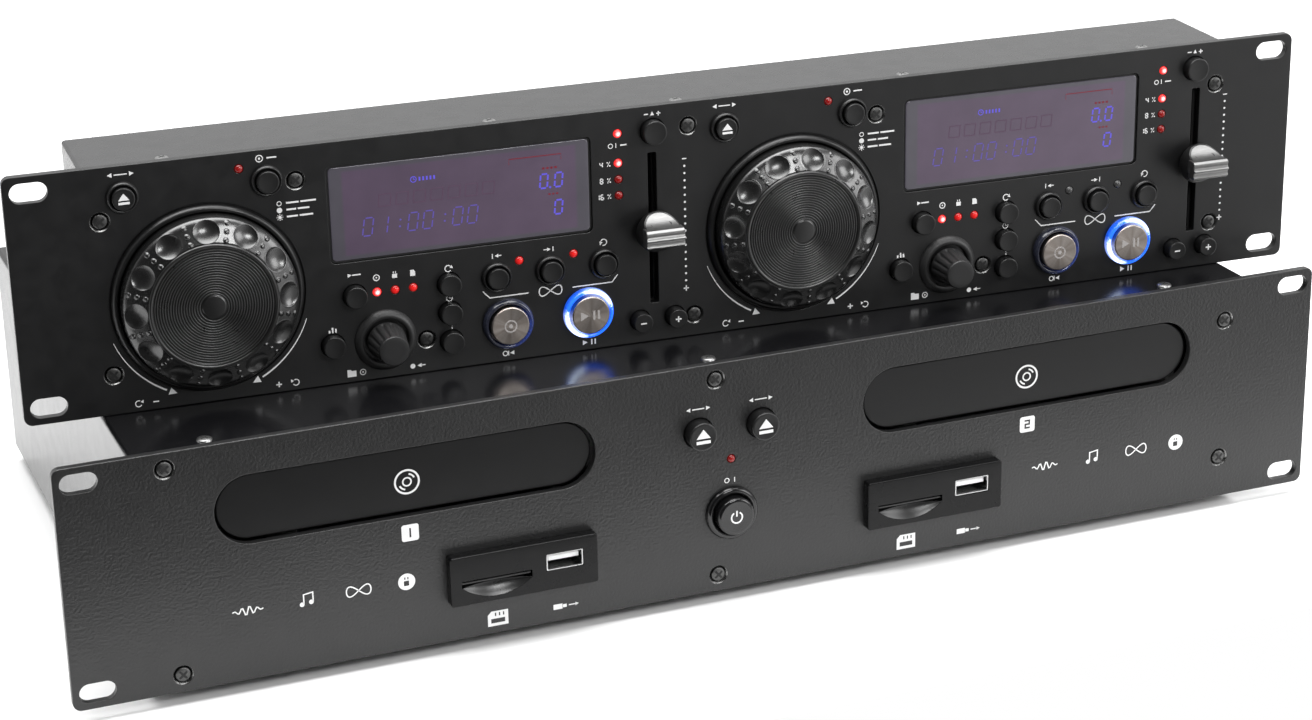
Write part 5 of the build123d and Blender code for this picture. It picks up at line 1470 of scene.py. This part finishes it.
def world_ramp(src, x0, x1, y0, y1):
    n = world_node("ShaderNodeMapRange", interpolation_type="SMOOTHSTEP")
    n.inputs["From Min"].default_value, n.inputs["From Max"].default_value = x0, x1
    n.inputs["To Min"].default_value, n.inputs["To Max"].default_value = y0, y1
    wt.links.new(src, n.inputs["Value"])
    return n.outputs[0]


def world_math(op, a, b):
    n = world_node("ShaderNodeMath", operation=op)
    for k, v in enumerate((a, b)):
        if isinstance(v, (int, float)):
            n.inputs[k].default_value = v
        else:
            wt.links.new(v, n.inputs[k])
    return n.outputs[0]


back_part = world_math("MULTIPLY", world_ramp(sep.outputs["Y"], -0.50, 0.35, 0.0, 1.0), world_ramp(sep.outputs["Z"], 0.45, 0.95, 1.0, 0.45))
front_part = world_math("MULTIPLY", world_ramp(sep.outputs["X"], 0.05, 0.75, 0.06, 1.25), world_ramp(sep.outputs["Z"], -0.25, 0.25, 1.0, 0.35))
front_part = world_math("MULTIPLY", front_part, world_ramp(sep.outputs["Y"], -0.50, 0.0, 1.0, 0.0))
sky = world_math("ADD", back_part, front_part)
lp = wt.nodes.new("ShaderNodeLightPath")
mixs = wt.nodes.new("ShaderNodeMix")
mixs.data_type = "FLOAT"
wt.links.new(lp.outputs["Is Camera Ray"], mixs.inputs[0])
wt.links.new(sky, mixs.inputs[2])
mixs.inputs[3].default_value = 1.0
wt.links.new(mixs.outputs[0], bg.inputs["Strength"])
bg.inputs["Color"].default_value = (1, 1, 1, 1)


def area_light(name, loc, target, size, power, size_y=None, color=(1, 1, 1), spread=180.0):
    li = bpy.data.lights.new(name, "AREA")
    li.shape = "RECTANGLE" if size_y else "SQUARE"
    li.size = size
    if size_y:
        li.size_y = size_y
    li.energy = power
    li.color = color
    li.spread = math.radians(spread)
    ob = bpy.data.objects.new(name, li)
    scene.collection.objects.link(ob)
    ob.location = loc
    ob.rotation_euler = (Vector(target) - Vector(loc)).to_track_quat("-Z", "Y").to_euler()
    return ob


area_light("softbox front", (0.095, -0.73, 0.505), (-0.03, -0.10, 0.14), 0.30, 2.6, 0.17)
area_light("softbox right", (1.35, -0.95, 0.60), (0.15, -0.1, 0.09), 0.9, 14.0, 0.9)
area_light("overhead", (0.0, -0.05, 1.7), (0.0, -0.05, 0.0), 2.6, 42.0, 1.4, spread=120.0)

cam_data = bpy.data.cameras.new("camera")
cam = bpy.data.objects.new("camera", cam_data)
scene.collection.objects.link(cam)
scene.camera = cam
cam_data.sensor_width = 36.0
cam_data.lens = 2995.0 / 1312.0 * 36.0
cam_data.clip_start, cam_data.clip_end = 0.01, 100.0
az, el, roll = math.radians(21.473), math.radians(20.674), math.radians(-1.178)
fwd = Vector((math.sin(az) * math.cos(el), math.cos(az) * math.cos(el), -math.sin(el)))
right = Vector((math.cos(az), -math.sin(az), 0.0))
up = right.cross(fwd)
r2 = right * math.cos(roll) + up * math.sin(roll)
u2 = -right * math.sin(roll) + up * math.cos(roll)
mat = Matrix.Identity(4)
for k in range(3):
    mat[k][0], mat[k][1], mat[k][2] = r2[k], u2[k], -fwd[k]
mat[0][3], mat[1][3], mat[2][3] = -0.3870, -1.03585, 0.4677
cam.matrix_world = mat

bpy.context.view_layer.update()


def plain(b):
    return [[float(c) for c in p] for p in b]
